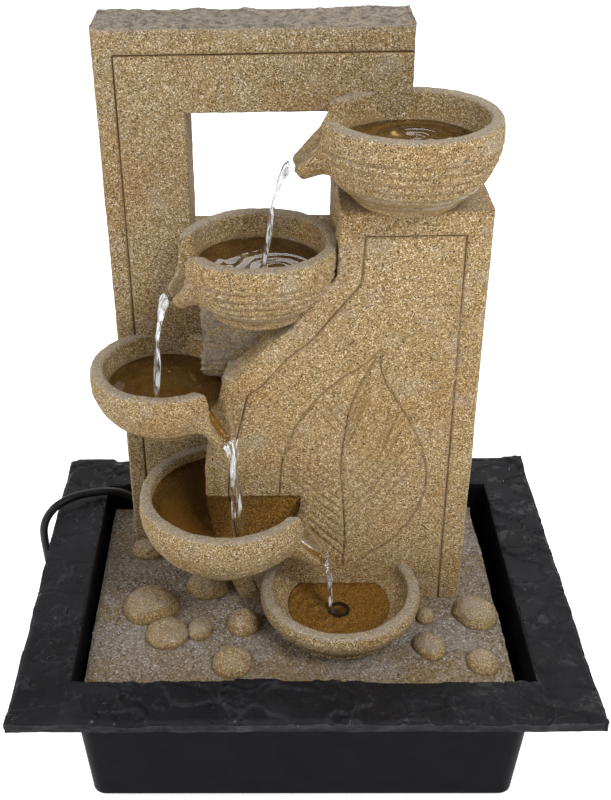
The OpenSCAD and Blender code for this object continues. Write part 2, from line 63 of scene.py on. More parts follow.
class Body(Enum):
    """The bodies that a piece may ride on."""

    FOUNTAIN = "fountain"
    DOOR = "rear_door"


class Slot(Enum):
    """Names of the material slots."""

    SLATE = "slate"
    SANDSTONE = "sandstone"
    DECK = "sand_deck"
    RUBBER = "black_rubber"
    CORD = "cord_rubber"
    WATER = "water"


# ---------------------------------------------------------------- node graphs


class Socket:
    """An output socket whose arithmetic adds Math nodes to its tree."""

    def __init__(self, graph: "Graph", socket: bpy.types.NodeSocket) -> None:
        """Wraps one output socket of a graph."""
        self.graph = graph
        self.socket = socket

    def out(self, name: str) -> "Socket":
        """Another output of the same node."""
        return Socket(self.graph, self.socket.node.outputs[name])

    def _math(self, operation: str, *values: "Socket | float") -> "Socket":
        """A Math node on these values."""
        slots = dict(enumerate(values))
        return self.graph.add("ShaderNodeMath", {"operation": operation}, slots)

    def __add__(self, other: "Socket | float") -> "Socket":
        """Sum."""
        return self._math("ADD", self, other)

    def __sub__(self, other: "Socket | float") -> "Socket":
        """Difference."""
        return self._math("SUBTRACT", self, other)

    def __rsub__(self, other: "Socket | float") -> "Socket":
        """Difference, reflected."""
        return self._math("SUBTRACT", other, self)

    def __mul__(self, other: "Socket | float") -> "Socket":
        """Product."""
        return self._math("MULTIPLY", self, other)

    def __truediv__(self, other: "Socket | float") -> "Socket":
        """Quotient."""
        return self._math("DIVIDE", self, other)

    def __pow__(self, other: "Socket | float") -> "Socket":
        """Power."""
        return self._math("POWER", self, other)

    __radd__ = __add__
    __rmul__ = __mul__

    def clip(self) -> "Socket":
        """The value held between 0 and 1."""
        return self.graph.add("ShaderNodeMath", {"operation": "ADD", "use_clamp": True}, {0: self, 1: 0.0})

    def step(self, low: float, high: float) -> "Socket":
        """0 below low, 1 above high, and a smooth rise between."""
        return self.graph.add(
            "ShaderNodeMapRange",
            {"interpolation_type": "SMOOTHSTEP"},
            {"Value": self, "From Min": low, "From Max": high},
        )


Value = Socket | float | int | bool | tuple | Any


class Graph:
    """A node tree that is filled in one call per node."""

    def __init__(self, tree: bpy.types.NodeTree) -> None:
        """Wraps a tree."""
        self.tree = tree

    def add(
        self,
        kind: str,
        settings: dict[str, Any] | None = None,
        values: dict[str | int, Value] | None = None,
        out: str | int = 0,
    ) -> Socket:
        """Adds a node.

        Args:
            kind: the node's type.
            settings: properties of the node, and "stops" for a colour ramp.
            values: what its inputs hold or are linked to.
            out: the output that is returned.

        Returns:
            That output.
        """
        node = self.tree.nodes.new(kind)
        for key, value in (settings or {}).items():
            if key == "stops":
                self._fill_ramp(node.color_ramp, value)
            else:
                setattr(node, key, value)
        for key, value in (values or {}).items():
            if isinstance(value, Socket):
                self.tree.links.new(value.socket, node.inputs[key])
            else:
                node.inputs[key].default_value = value
        return Socket(self, node.outputs[out]) if len(node.outputs) else None

    @staticmethod
    def _fill_ramp(ramp: bpy.types.ColorRamp, stops: Sequence[tuple]) -> None:
        """Sets a ramp's stops, each a position and a colour."""
        while len(ramp.elements) < len(stops):
            ramp.elements.new(1.0)
        for element, (place, colour) in zip(ramp.elements, stops):
            element.position = place
            element.color = (*colour, 1.0)

    def ramp(self, factor: Socket, *stops: tuple, hold: bool = False) -> Socket:
        """A colour ramp through these stops, in steps where hold is true."""
        node = self.add("ShaderNodeValToRGB", {"stops": stops}, {0: factor})
        node.socket.node.color_ramp.interpolation = "CONSTANT" if hold else "LINEAR"
        return node

    def mix(self, factor: Value, low: Value, high: Value, blend: str = "MIX") -> Socket:
        """Two colours mixed, or blended in another way."""
        settings = {"data_type": "RGBA", "blend_type": blend}
        low, high = (v if isinstance(v, Socket) else (*v, 1.0) for v in (low, high))
        return self.add("ShaderNodeMix", settings, {0: factor, 6: low, 7: high}, out=2)

    def attribute(self, name: str) -> Socket:
        """A value that the mesh holds at each point."""
        return self.add("ShaderNodeAttribute", {"attribute_name": name}, out="Fac")

    def place(self, stretch: Triple = (1, 1, 1)) -> Socket:
        """Object coordinates, stretched along each axis."""
        at = self.add("ShaderNodeTexCoord", out="Object")
        if stretch == (1, 1, 1):
            return at
        return self.add("ShaderNodeMapping", values={"Vector": at, "Scale": stretch})

    def noise(self, at: Socket, scale: float, detail: float = 3.0, rough: float = 0.5) -> Socket:
        """Cloudy noise from 0 to 1."""
        values = {"Vector": at, "Scale": scale, "Detail": detail, "Roughness": rough}
        return self.add("ShaderNodeTexNoise", values=values)

    def bump(self, height: Socket, distance: float, strength: float) -> Socket:
        """A normal that stands for a fine relief."""
        values = {"Height": height, "Distance": distance, "Strength": strength}
        return self.add("ShaderNodeBump", values=values)

    def grains(self, at: Socket, scale: float) -> Socket:
        """One random number for each grain of a packed bed of grains."""
        cells = self.add("ShaderNodeTexVoronoi", values={"Vector": at, "Scale": scale}, out="Color")
        return self.add("ShaderNodeSeparateColor", values={0: cells})


@dataclass(frozen=True)
class Finish:
    """A plain moulded finish, with a fine grain and slight wear."""

    name: str
    colour: Triple
    roughness: float = 0.45
    metallic: float = 0.0
    specular: float = 0.5
    grain: float = 900.0
    relief: float = 0.05 * MM
    variation: float = 0.25

    def make(self) -> bpy.types.Material:
        """Builds the material once, and returns it."""
        if self.name in bpy.data.materials:
            return bpy.data.materials[self.name]
        material = bpy.data.materials.new(self.name)
        material.use_nodes = True
        material.node_tree.nodes.clear()
        self.fill(Graph(material.node_tree))
        return material

    def fill(self, g: Graph) -> None:
        """Adds the nodes of the finish."""
        at = g.place()
        cloud = g.noise(at, 60.0)
        light = tuple(min(1.0, c * (1 + self.variation)) for c in self.colour)
        dark = tuple(c * (1 - self.variation) for c in self.colour)
        fine = g.noise(at, self.grain, 2.0)
        self.surface(
            g,
            colour=g.mix(cloud.step(0.3, 0.7), dark, light),
            roughness=self.roughness + (cloud - 0.5) * 0.15,
            normal=g.bump(fine, self.relief, 0.6),
        )

    def surface(self, g: Graph, colour: Value, roughness: Value, normal: Value, **more: Value) -> None:
        """Ends the tree in a Principled surface."""
        values = {
            "Base Color": colour,
            "Roughness": roughness,
            "Normal": normal,
            "Metallic": self.metallic,
            "Specular IOR Level": self.specular,
        }
        values.update({key.replace("_", " ").title(): value for key, value in more.items()})
        shader = g.add("ShaderNodeBsdfPrincipled", values=values)
        g.add("ShaderNodeOutputMaterial", values={"Surface": shader})


@dataclass(frozen=True)
class Sandstone(Finish):
    """Cast sandstone: packed grains of tan, cream, grey and dark brown.

    The mesh says where the stone is stained or darkened by painted shade
    ("wash"), where it is paled by wear or by painted light ("pale"), and where
    it is wet ("wet").
    """

    grain: float = 2100.0
    relief: float = 0.20 * MM
    # Brown mixed in both for real stains and for painted shade.
    stain: Triple = (0.205, 0.122, 0.045)
    # Grey mixed in where the stone is paled by wear and where light is painted.
    pale_grey: Triple = (0.27, 0.245, 0.215)
    soaked: Triple = (0.185, 0.120, 0.050)
    specular: float = 0.25

    def fill(self, g: Graph) -> None:
        """Adds the nodes of the finish."""
        at = g.place()
        fine, coarse = g.grains(at, self.grain), g.grains(at, self.grain * 0.45)
        scales = (
            (0.0, (0.10,) * 3), (0.07, (0.38,) * 3), (0.18, (0.70,) * 3), (0.38, (0.95,) * 3),
            (0.60, (1.12, 1.17, 1.25)), (0.80, (1.40, 1.62, 2.2)), (0.92, (2.1, 2.7, 4.6)),
        )
        shades = [(stop, tuple(c * s for c, s in zip(self.colour, scale))) for stop, scale in scales]
        base = g.ramp(fine, *shades, hold=True)
        flecks = g.ramp(
            coarse, (0.0, (0.70, 0.66, 0.62)), (0.07, (0.98, 0.97, 0.95)), (0.93, (1.12, 1.15, 1.22)),
            hold=True,
        )
        base = g.mix(0.55, base, flecks, "MULTIPLY")
        cloud = g.noise(at, 26.0, 5.0, 0.6)
        base = g.mix(cloud.step(0.42, 0.7) * 0.45, base, g.mix(1.0, base, (0.86, 0.66, 0.40), "MULTIPLY"))
        base = g.mix(g.noise(at, 60.0, 3.0).step(0.55, 0.75) * 0.25, base, (0.36, 0.32, 0.27))
        wash, pale, wet = (g.attribute(n) for n in ("wash", "pale", "wet"))
        patch = g.noise(at, 140.0, 4.0, 0.6).step(0.25, 0.65)
        # Where the stone is stained or painted with shade it is browned, and it turns near-black brown where
        # the value passes 0.9.
        base = g.mix((wash * (0.55 + patch * 0.45)).clip(), base, g.mix(0.6, self.stain, base, "MIX"))
        base = g.mix(wash.step(0.9, 1.6), base, (0.07, 0.035, 0.015))
        # Places paled by wear, and places painted with light, are greyed, with dark chips where the value is
        # high.
        chips = (1 - g.noise(at, 260.0, 6.0, 0.7).step(0.34, 0.60)) * pale.step(1.0, 1.5)
        greyed = g.mix(chips.clip(), g.mix(0.40, self.pale_grey, base), (0.085, 0.075, 0.062))
        base = g.mix((pale * (0.5 + patch * 0.5)).clip(), base, greyed)
        base = g.mix(wet.clip(), base, g.mix(0.30, self.soaked, base, "MIX"))
        height = fine * 0.6 + coarse * 0.5 + g.noise(at, 420.0, 3.0)
        self.surface(
            g,
            colour=base,
            roughness=(0.88 - wet * 0.62).clip(),
            normal=g.bump(height, self.relief, 0.75),
            coat_weight=(wet * 0.7).clip(),
            coat_roughness=0.12,
        )


@dataclass(frozen=True)
class Slate(Finish):
    """Split slate: charcoal layers with paler chipped edges ("edge")."""

    relief: float = 0.6 * MM

    def fill(self, g: Graph) -> None:
        """Adds the nodes of the finish."""
        at = g.place()
        cloud = g.noise(at, 38.0, 6.0, 0.65)
        fine = g.noise(at, 520.0, 5.0, 0.65)
        edge = g.attribute("edge")
        colour = g.ramp(
            cloud, (0.3, (0.0040, 0.0040, 0.0052)), (0.55, (0.0075, 0.0075, 0.0095)),
            (0.75, (0.014, 0.014, 0.017)),
        )
        colour = g.mix((edge * fine.step(0.42, 0.62)).clip() * 0.5, colour, (0.030, 0.030, 0.036))
        wet = (edge * fine.step(0.35, 0.6) * 0.8 + g.noise(at, 70.0, 3.0).step(0.60, 0.66) * 0.5).clip()
        self.surface(
            g,
            colour=colour,
            roughness=(0.62 - cloud * 0.2).clip(),
            normal=g.bump(fine + cloud * 1.5, self.relief, 1.0),
            coat_weight=wet * 0.28,
            coat_roughness=0.10,
        )


@dataclass(frozen=True)
class ClearWater(Finish):
    """Clear water, slightly tinted by what lies under it."""

    def fill(self, g: Graph) -> None:
        """Adds the nodes of the finish."""
        at = g.place()
        fine = g.noise(at, 260.0, 2.0)
        bump = g.bump(fine, 0.12 * MM, 0.5)
        see = g.add("ShaderNodeBsdfTransparent", values={"Color": (*self.colour, 1.0)})
        gloss = g.add("ShaderNodeBsdfGlossy", values={"Roughness": self.roughness, "Normal": bump})
        rim = g.add("ShaderNodeFresnel", values={"IOR": 1.33, "Normal": bump})
        mixed = g.add("ShaderNodeMixShader", values={0: (rim * 1.25 + 0.02).clip(), 1: see, 2: gloss})
        g.add("ShaderNodeOutputMaterial", values={"Surface": mixed})


@dataclass(frozen=True)
class RunningWater(Finish):
    """Falling water, which bends what is seen through it and froths in streaks."""

    foam: float = 0.8

    def fill(self, g: Graph) -> None:
        """Adds the nodes of the finish."""
        fine = g.noise(g.place((1, 1, 0.25)), 420.0, 2.0)
        bump = g.bump(fine, 0.15 * MM, 0.4)
        values = {"Base Color": (*self.colour, 1.0), "Roughness": self.roughness, "Normal": bump}
        values.update({"IOR": 1.33, "Transmission Weight": 1.0})
        shader = g.add("ShaderNodeBsdfPrincipled", values=values)
        milk = g.add("ShaderNodeBsdfPrincipled", values={
            "Base Color": (0.9, 0.92, 0.94, 1.0), "Roughness": 0.12, "Normal": bump,
        })
        froth = g.noise(g.place((1, 1, 0.18)), 300.0, 3.0, 0.6).step(0.50, 0.60) * self.foam
        mixed = g.add("ShaderNodeMixShader", values={0: froth.clip(), 1: shader, 2: milk})
        g.add("ShaderNodeOutputMaterial", values={"Surface": mixed})


SANDSTONE = Sandstone("cast_sandstone", (0.335, 0.222, 0.094))
# A darker copy of the cast sandstone: painted shade for the wall, which stands back behind the bowls.
SHADED_WALL_STONE = Sandstone("wall_sandstone", (0.285, 0.197, 0.092))
BOWL_STONE = Sandstone("bowl_sandstone", (0.308, 0.205, 0.088))
DECK_SAND = Sandstone("strewn_sand", (0.215, 0.168, 0.112), grain=1300.0, relief=0.7 * MM)
SLATE = Slate("split_slate", (0.02, 0.02, 0.022), specular=0.16)
TUB = Finish("satin_black", (0.0052, 0.0052, 0.0070), 0.45, specular=0.03, relief=0.03 * MM)
CORD_BLACK = Finish("black_cord", (0.008, 0.008, 0.009), 0.36, specular=0.22, relief=0.02 * MM)
RUBBER = Finish("moulded_rubber", (0.012, 0.012, 0.013), 0.7, specular=0.15)
PUMP_BLACK = Finish("pump_black", (0.014, 0.015, 0.017), 0.4)
STEEL = Finish("laminated_steel", (0.56, 0.57, 0.60), 0.35, metallic=1.0)
COPPER = Finish("enamelled_copper", (0.62, 0.25, 0.10), 0.3, metallic=1.0)
BRASS = Finish("plated_brass", (0.72, 0.66, 0.50), 0.22, metallic=1.0, variation=0.08)
CERAMIC = Finish("white_ceramic", (0.80, 0.79, 0.76), 0.2, variation=0.05)
DIAL = Finish("dial_grey", (0.62, 0.63, 0.64), 0.4, variation=0.08)
BLUE = Finish("impeller_blue", (0.03, 0.09, 0.26), 0.35)
TUBE = Finish("milky_tube", (0.72, 0.75, 0.74), 0.25, variation=0.06)
POOL = ClearWater("pool_water", (0.93, 0.78, 0.48), 0.03)
STREAM = RunningWater("running_water", (1.0, 1.0, 1.0), 0.02)
DROPS = RunningWater("water_drops", (1.0, 1.0, 1.0), 0.0, foam=0.0)


# ----------------------------------------------------------------- mesh tools


class Noise:
    """Repeatable value noise in three dimensions."""

    def __init__(self, seed: int) -> None:
        """Keeps the seed."""
        self.seed = seed

    def _corner(self, i: Array, j: Array, k: Array) -> Array:
        """A number from 0 to 1 for each whole-number place."""
        h = (i * 73856093) ^ (j * 19349663) ^ (k * 83492791) ^ (self.seed * 15485863)
        h = ((h ^ (h >> 13)) * 1274126177) & 0x7FFFFFFF
        h = ((h ^ (h >> 15)) * 668265263) & 0x7FFFFFFF
        return (h & 0xFFFFF) / 0xFFFFF

    def at(self, x: Array, y: Array, z: Array | float) -> Array:
        """Noise from -1 to 1 at places that are a unit apart."""
        x, y, z = np.broadcast_arrays(x, y, z)
        cells = [np.floor(v).astype(np.int64) for v in (x, y, z)]
        parts = [v - c for v, c in zip((x, y, z), cells)]
        ease = [f * f * f * (f * (f * 6 - 15) + 10) for f in parts]
        total = np.zeros(x.shape)
        for corner in np.ndindex(2, 2, 2):
            share = np.ones(x.shape)
            for e, c in zip(ease, corner):
                share = share * (e if c else 1 - e)
            total += share * self._corner(*(c + d for c, d in zip(cells, corner)))
        return total * 2 - 1

    def fbm(self, x: Array, y: Array, z: Array | float, size: float, octaves: int = 4) -> Array:
        """Noise summed over octaves, the largest as big as size."""
        total, share, scale = 0.0, 0.5, 1 / size
        for _ in range(octaves):
            total = total + share * self.at(x * scale, y * scale, z * scale)
            share, scale = share / 2, scale * 2.03
        return total


def ease(value: Array, low: float, high: float) -> Array:
    """0 below low, 1 above high, and a smooth rise between."""
    t = np.clip((value - low) / (high - low), 0, 1)
    return t * t * (3 - 2 * t)


def smooth_min(a: Array, b: Array, k: float) -> Array:
    """The lower of two distances, with a fillet of about k."""
    h = np.clip(0.5 + 0.5 * (b - a) / k, 0, 1)
    return b * (1 - h) + a * h - k * h * (1 - h)


def smooth_max(a: Array, b: Array, k: float) -> Array:
    """The higher of two distances, with a fillet of about k."""
    return -smooth_min(-a, -b, k)


def segment_distance(x: Array, y: Array, p: Sequence[float], q: Sequence[float]) -> Array:
    """Distance from each place to the straight line from p to q."""
    dx, dy = q[0] - p[0], q[1] - p[1]
    t = np.clip(((x - p[0]) * dx + (y - p[1]) * dy) / (dx * dx + dy * dy + 1e-18), 0, 1)
    return np.hypot(x - p[0] - t * dx, y - p[1] - t * dy)


def line_distance(x: Array, y: Array, line: Sequence[Sequence[float]]) -> Array:
    """Distance from each place to an open line through the points."""
    far = np.full(np.broadcast(x, y).shape, np.inf)
    for p, q in zip(line[:-1], line[1:]):
        far = np.minimum(far, segment_distance(x, y, p, q))
    return far


def outline_distance(x: Array, y: Array, loop: Sequence[Sequence[float]]) -> Array:
    """Signed distance to a closed outline, below 0 inside."""
    far = line_distance(x, y, [*loop, loop[0]])
    inside = np.zeros(far.shape, bool)
    for p, q in zip(loop, [*loop[1:], loop[0]]):
        if p[1] == q[1]:
            continue
        spans = (p[1] > y) != (q[1] > y)
        inside ^= spans & (x < (q[0] - p[0]) * (y - p[1]) / (q[1] - p[1]) + p[0])
    return np.where(inside, -far, far)


def curve_through(points: Sequence[Sequence[float]], per: int) -> Array:
    """A smooth curve through the points, with per samples between each pair."""
    p = np.array(points, float)
    p = np.vstack([2 * p[0] - p[1], p, 2 * p[-1] - p[-2]])
    rows = []
    for a, b, c, d in zip(p[:-3], p[1:-2], p[2:-1], p[3:]):
        for t in np.arange(per) / per:
            square, cube = 2 * a - 5 * b + 4 * c - d, 3 * b - a - 3 * c + d
            rows.append(0.5 * (2 * b + (c - a) * t + square * t**2 + cube * t**3))
    rows.append(p[-2])
    return np.array(rows)


def box_distance(x: Array, y: Array, z: Array, low: Sequence[float], high: Sequence[float]) -> Array:
    """Signed distance to an upright box."""
    parts = [np.maximum(l - v, v - h) for v, l, h in zip((x, y, z), low, high)]
    inner = np.maximum(np.maximum(parts[0], parts[1]), parts[2])
    outer = np.sqrt(sum(np.maximum(v, 0) ** 2 for v in parts))
    return np.where(inner < 0, inner, outer)


def tube_faces(rings: int, sides: int) -> list[tuple[int, ...]]:
    """Faces of a tube of rings, closed at both ends."""
    faces = [
        (r * sides + k, r * sides + (k + 1) % sides, (r + 1) * sides + (k + 1) % sides, (r + 1) * sides + k)
        for r in range(rings - 1)
        for k in range(sides)
    ]
    last = (rings - 1) * sides
    return [*faces, tuple(range(sides - 1, -1, -1)), tuple(range(last, last + sides))]


def show(thing: Obj) -> Obj:
    """Puts an object in the scene."""
    bpy.context.scene.collection.objects.link(thing)
    return thing


def add_piece(name: str, points: Array, faces: Sequence, material: bpy.types.Material) -> Obj:
    """A shaded mesh object at the origin."""
    mesh = bpy.data.meshes.new(name)
    mesh.from_pydata(np.asarray(points, float).tolist(), [], [tuple(map(int, f)) for f in faces])
    mesh.validate()
    mesh.shade_smooth()
    mesh.materials.append(material)
    return show(bpy.data.objects.new(name, mesh))


def points_of(piece: Obj) -> tuple[Array, Array]:
    """Places and normals of a piece's points."""
    count = len(piece.data.vertices)
    places, normals = np.zeros(count * 3), np.zeros(count * 3)
    piece.data.vertices.foreach_get("co", places)
    piece.data.vertices.foreach_get("normal", normals)
    return places.reshape(-1, 3), normals.reshape(-1, 3)


def move_points(piece: Obj, places: Array) -> None:
    """Puts a piece's points in new places."""
    piece.data.vertices.foreach_set("co", np.ascontiguousarray(places).ravel())
    piece.data.update()


def paint(piece: Obj, **values: Array) -> None:
    """Writes named values at a piece's points."""
    for name, value in values.items():
        layer = piece.data.attributes.new(name, "FLOAT", "POINT")
        layer.data.foreach_set("value", np.broadcast_to(value, len(piece.data.vertices)).astype(np.float32))


def crease(piece: Obj, degrees: float = 38.0) -> None:
    """Shades edges that turn by more than this angle as sharp."""
    bm = bmesh.new()
    bm.from_mesh(piece.data)
    for edge in bm.edges:
        if len(edge.link_faces) == 2 and edge.calc_face_angle(0.0) > math.radians(degrees):
            edge.smooth = False
    bm.to_mesh(piece.data)
    bm.free()


def roughen(piece: Obj, seed: int, size: float, height: float, octaves: int = 3) -> None:
    """Moves a piece's points along their normals by noise."""
    places, normals = points_of(piece)
    lift = Noise(seed).fbm(*places.T, size, octaves) * height
    move_points(piece, places + normals * lift[:, None])


def cut(piece: Obj, *blocks: tuple[Sequence[float], Sequence[float]], tubes: Sequence[tuple] = ()) -> None:
    """Cuts boxes and upright tubes out of a piece.

    Args:
        piece: a closed mesh object.
        blocks: the low and high corners of each box.
        tubes: the centre, axis (1 for Y, 2 for Z), radius and the two ends of each bore.
    """
    tools = []
    for low, high in blocks:
        size, centre = np.subtract(high, low), np.add(high, low) / 2
        bm = bmesh.new()
        bmesh.ops.create_cube(bm, size=1.0, matrix=Matrix.Translation(centre) @ Matrix.Diagonal((*size, 1)))
        tools.append(bm)
    for centre, axis, radius, start, end in tubes:
        turn = Matrix.Rotation(math.pi / 2, 4, "X") if axis == 1 else Matrix.Identity(4)
        at = Vector(centre)
        at[axis] = (start + end) / 2
        bm = bmesh.new()
        bmesh.ops.create_cone(
            bm, cap_ends=True, segments=48, radius1=radius, radius2=radius,
            depth=end - start, matrix=Matrix.Translation(at) @ turn,
        )
        tools.append(bm)
    for bm in tools:
        mesh = bpy.data.meshes.new("tool")
        bm.to_mesh(mesh)
        bm.free()
        tool = show(bpy.data.objects.new("tool", mesh))
        modifier = piece.modifiers.new("cut", "BOOLEAN")
        modifier.operation, modifier.solver, modifier.object = "DIFFERENCE", "MANIFOLD", tool
        settle(piece)
        bpy.data.objects.remove(tool)


def settle(piece: Obj) -> None:
    """Turns a piece with modifiers into a plain mesh without them."""
    evaluated = piece.evaluated_get(bpy.context.evaluated_depsgraph_get())
    mesh = bpy.data.meshes.new_from_object(evaluated)
    piece.modifiers.clear()
    old, piece.data = piece.data, mesh
    mesh.name = piece.name
    bpy.data.meshes.remove(old)


def net(field: Array, low: Sequence[float], step: float) -> tuple[Array, Array]:
    """The surface on which a distance field is 0.

    Args:
        field: distances on a grid, above 0 on the grid's outside.
        low: the grid's low corner.
        step: the grid's spacing.

    Returns:
        The points, and faces of four points each that look outwards.
    """
    cells = tuple(n - 1 for n in field.shape)
    total, count = np.zeros((*cells, 3)), np.zeros(cells)
    crossings = []
    for axis in range(3):
        one, two = (axis + 1) % 3, (axis + 2) % 3
        a = np.take(field, range(field.shape[axis] - 1), axis)
        b = np.take(field, range(1, field.shape[axis]), axis)
        crosses = (a < 0) != (b < 0)
        crossings.append((crosses, a < 0))
        share = np.where(crosses, a / np.where(crosses, a - b, 1.0), 0.0)
        for i, j in np.ndindex(2, 2):
            cut_out = [slice(None)] * 3
            cut_out[one] = slice(i, i + cells[one])
            cut_out[two] = slice(j, j + cells[two])
            here = crosses[tuple(cut_out)]
            count += here
            total[..., axis] += here * share[tuple(cut_out)]
            total[..., one] += here * i
            total[..., two] += here * j
    used = count > 0
    number = np.full(cells, -1)
    number[used] = np.arange(used.sum())
    points = (np.argwhere(used) + total[used] / count[used][:, None]) * step + np.array(low)
    faces = []
    for axis, (crosses, from_inside) in enumerate(crossings):
        one, two = (axis + 1) % 3, (axis + 2) % 3
        for way in (True, False):
            at = np.argwhere(crosses & (from_inside == way))
            for across in (one, two):
                at = at[(at[:, across] > 0) & (at[:, across] < cells[across])]
            ring = [(-1, -1), (0, -1), (0, 0), (-1, 0)]
            corners = []
            for i, j in ring if way else ring[::-1]:
                shifted = at.copy()
                shifted[:, one] += i
                shifted[:, two] += j
                corners.append(number[tuple(shifted.T)])
            faces.append(np.stack(corners, 1))
    return points, np.vstack(faces)


def axes(low: Sequence[float], high: Sequence[float], step: float) -> list[Array]:
    """Grid lines that cover a box, as arrays that broadcast together."""
    lines = [np.arange(l, h + step, step) for l, h in zip(low, high)]
    return [lines[0][:, None, None], lines[1][None, :, None], lines[2][None, None, :]]


def grid_lines(low: float, high: float, step: float, extra: Sequence[float] = ()) -> Array:
    """Grid lines from low to high that crowd at the ends and at the extra places."""
    near = np.array([0.0, 0.35, 0.8, 1.4, 2.1]) * MM
    groove = np.array([-1.3, -0.8, -0.4, 0.0, 0.4, 0.8, 1.3]) * MM
    special = np.concatenate([low + near, high - near, *(e + groove for e in extra)])
    plain = np.arange(low, high, step)
    clear = np.abs(plain[:, None] - special[None, :]).min(1) > 0.55 * step
    return np.unique(np.round(np.concatenate([plain[clear], special]), 7))


def slab(
    x: Array, y: Array, keep: Array, top: Array, base: float, steps: int, under: Array | None = None
) -> tuple[Array, list]:
    """A closed slab with relief on its top.

    Args:
        x: places of the grid's points, rows by columns.
        y: the same, upwards with the rows.
        keep: which of the grid's cells are there.
        top: heights of the grid's points.
        base: level of the underside.
        steps: rows of faces down each side.
        under: relief of the underside, or None where it is flat.

    Returns:
        The points and the faces, which look outwards.
    """
    number = np.arange(x.size).reshape(x.shape)
    r, c = np.nonzero(keep)
    quads = np.stack([number[r, c], number[r, c + 1], number[r + 1, c + 1], number[r + 1, c]], 1)
    padded = np.pad(keep, 1)
    rims = []
    for dr, dc, first, second in ((-1, 0, 0, 1), (0, 1, 1, 2), (1, 0, 2, 3), (0, -1, 3, 0)):
        open_side = ~padded[r + 1 + dr, c + 1 + dc]
        rims.append(quads[open_side][:, [first, second]])
    rim = np.vstack(rims)
    on_rim = np.unique(rim)
    place = np.full(x.size, -1)
    place[on_rim] = np.arange(len(on_rim))
    flat = [v.ravel() for v in (x, y, top)]
    low = np.full(x.size, base) if under is None else under.ravel()
    points = [np.stack(flat, 1)]
    levels = [on_rim]
    total = x.size
    for k in range(1, steps + 1):
        drop = flat[2][on_rim] + (low[on_rim] - flat[2][on_rim]) * k / steps
        points.append(np.stack([flat[0][on_rim], flat[1][on_rim], drop], 1))
        levels.append(np.arange(total, total + len(on_rim)))
        total += len(on_rim)
    faces = [tuple(q) for q in quads]
    a, b = place[rim[:, 0]], place[rim[:, 1]]
    for upper, lower in zip(levels[:-1], levels[1:]):
        faces += [tuple(q) for q in np.stack([upper[a], lower[a], lower[b], upper[b]], 1)]
    if under is not None:
        below = np.arange(x.size) + total
        points.append(np.stack([flat[0], flat[1], low], 1))
        below[on_rim] = levels[-1]
        faces += [tuple(q) for q in below[quads][:, ::-1]]
    return compact(np.vstack(points), faces)


def stood_up(points: Array) -> Array:
    """A slab's points, turned so that its top looks to the front."""
    return np.stack([points[:, 0], -points[:, 2], points[:, 1]], 1)


def rounded(inset: Array, radius: float) -> Array:
    """How far a rounded edge falls away at places this far in from it."""
    flat = radius - np.clip(inset, 0, radius)
    return radius - np.sqrt(np.maximum(radius**2 - flat**2, 0))


def mm(*values: float) -> tuple[float, ...]:
    """Millimetres as metres."""
    return tuple(v * MM for v in values)


def upright_axis(node: str) -> Triple:
    """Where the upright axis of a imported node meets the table."""
    low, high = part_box(node)
    return (low[0] + high[0]) / 2, (low[1] + high[1]) / 2, 0.0


def compact(points: Array, faces: Sequence) -> tuple[Array, list]:
    """Drops the points that no face uses."""
    used = np.unique(np.concatenate([np.array(f) for f in faces]) if faces else [])
    number = np.full(len(points), -1)
    number[used] = np.arange(len(used))
    return points[used], [tuple(number[list(f)]) for f in faces]


def close_flat(piece: Obj, down: Vector) -> None:
    """Fills a piece's open flat underside, which faces down."""
    bm = bmesh.new()
    bm.from_mesh(piece.data)
    edges = [e for e in bm.edges if e.is_boundary]
    made = bmesh.ops.triangle_fill(bm, use_beauty=True, edges=edges)
    for face in made["geom"]:
        if isinstance(face, bmesh.types.BMFace) and face.normal.dot(down) < 0:
            face.normal_flip()
    bm.to_mesh(piece.data)
    bm.free()
    piece.data.shade_smooth()


def put_on(piece: Obj, slot: Slot, *nodes: str, body: Body = Body.FOUNTAIN) -> Obj:
    """Makes a finished piece ride on its body, hides the imported nodes that it replaces and logs its faces.
    """
    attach(piece, body.value)
    if nodes:
        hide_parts(*nodes)
    log.info("%s: %d faces", piece.name, len(piece.data.polygons))
    return piece


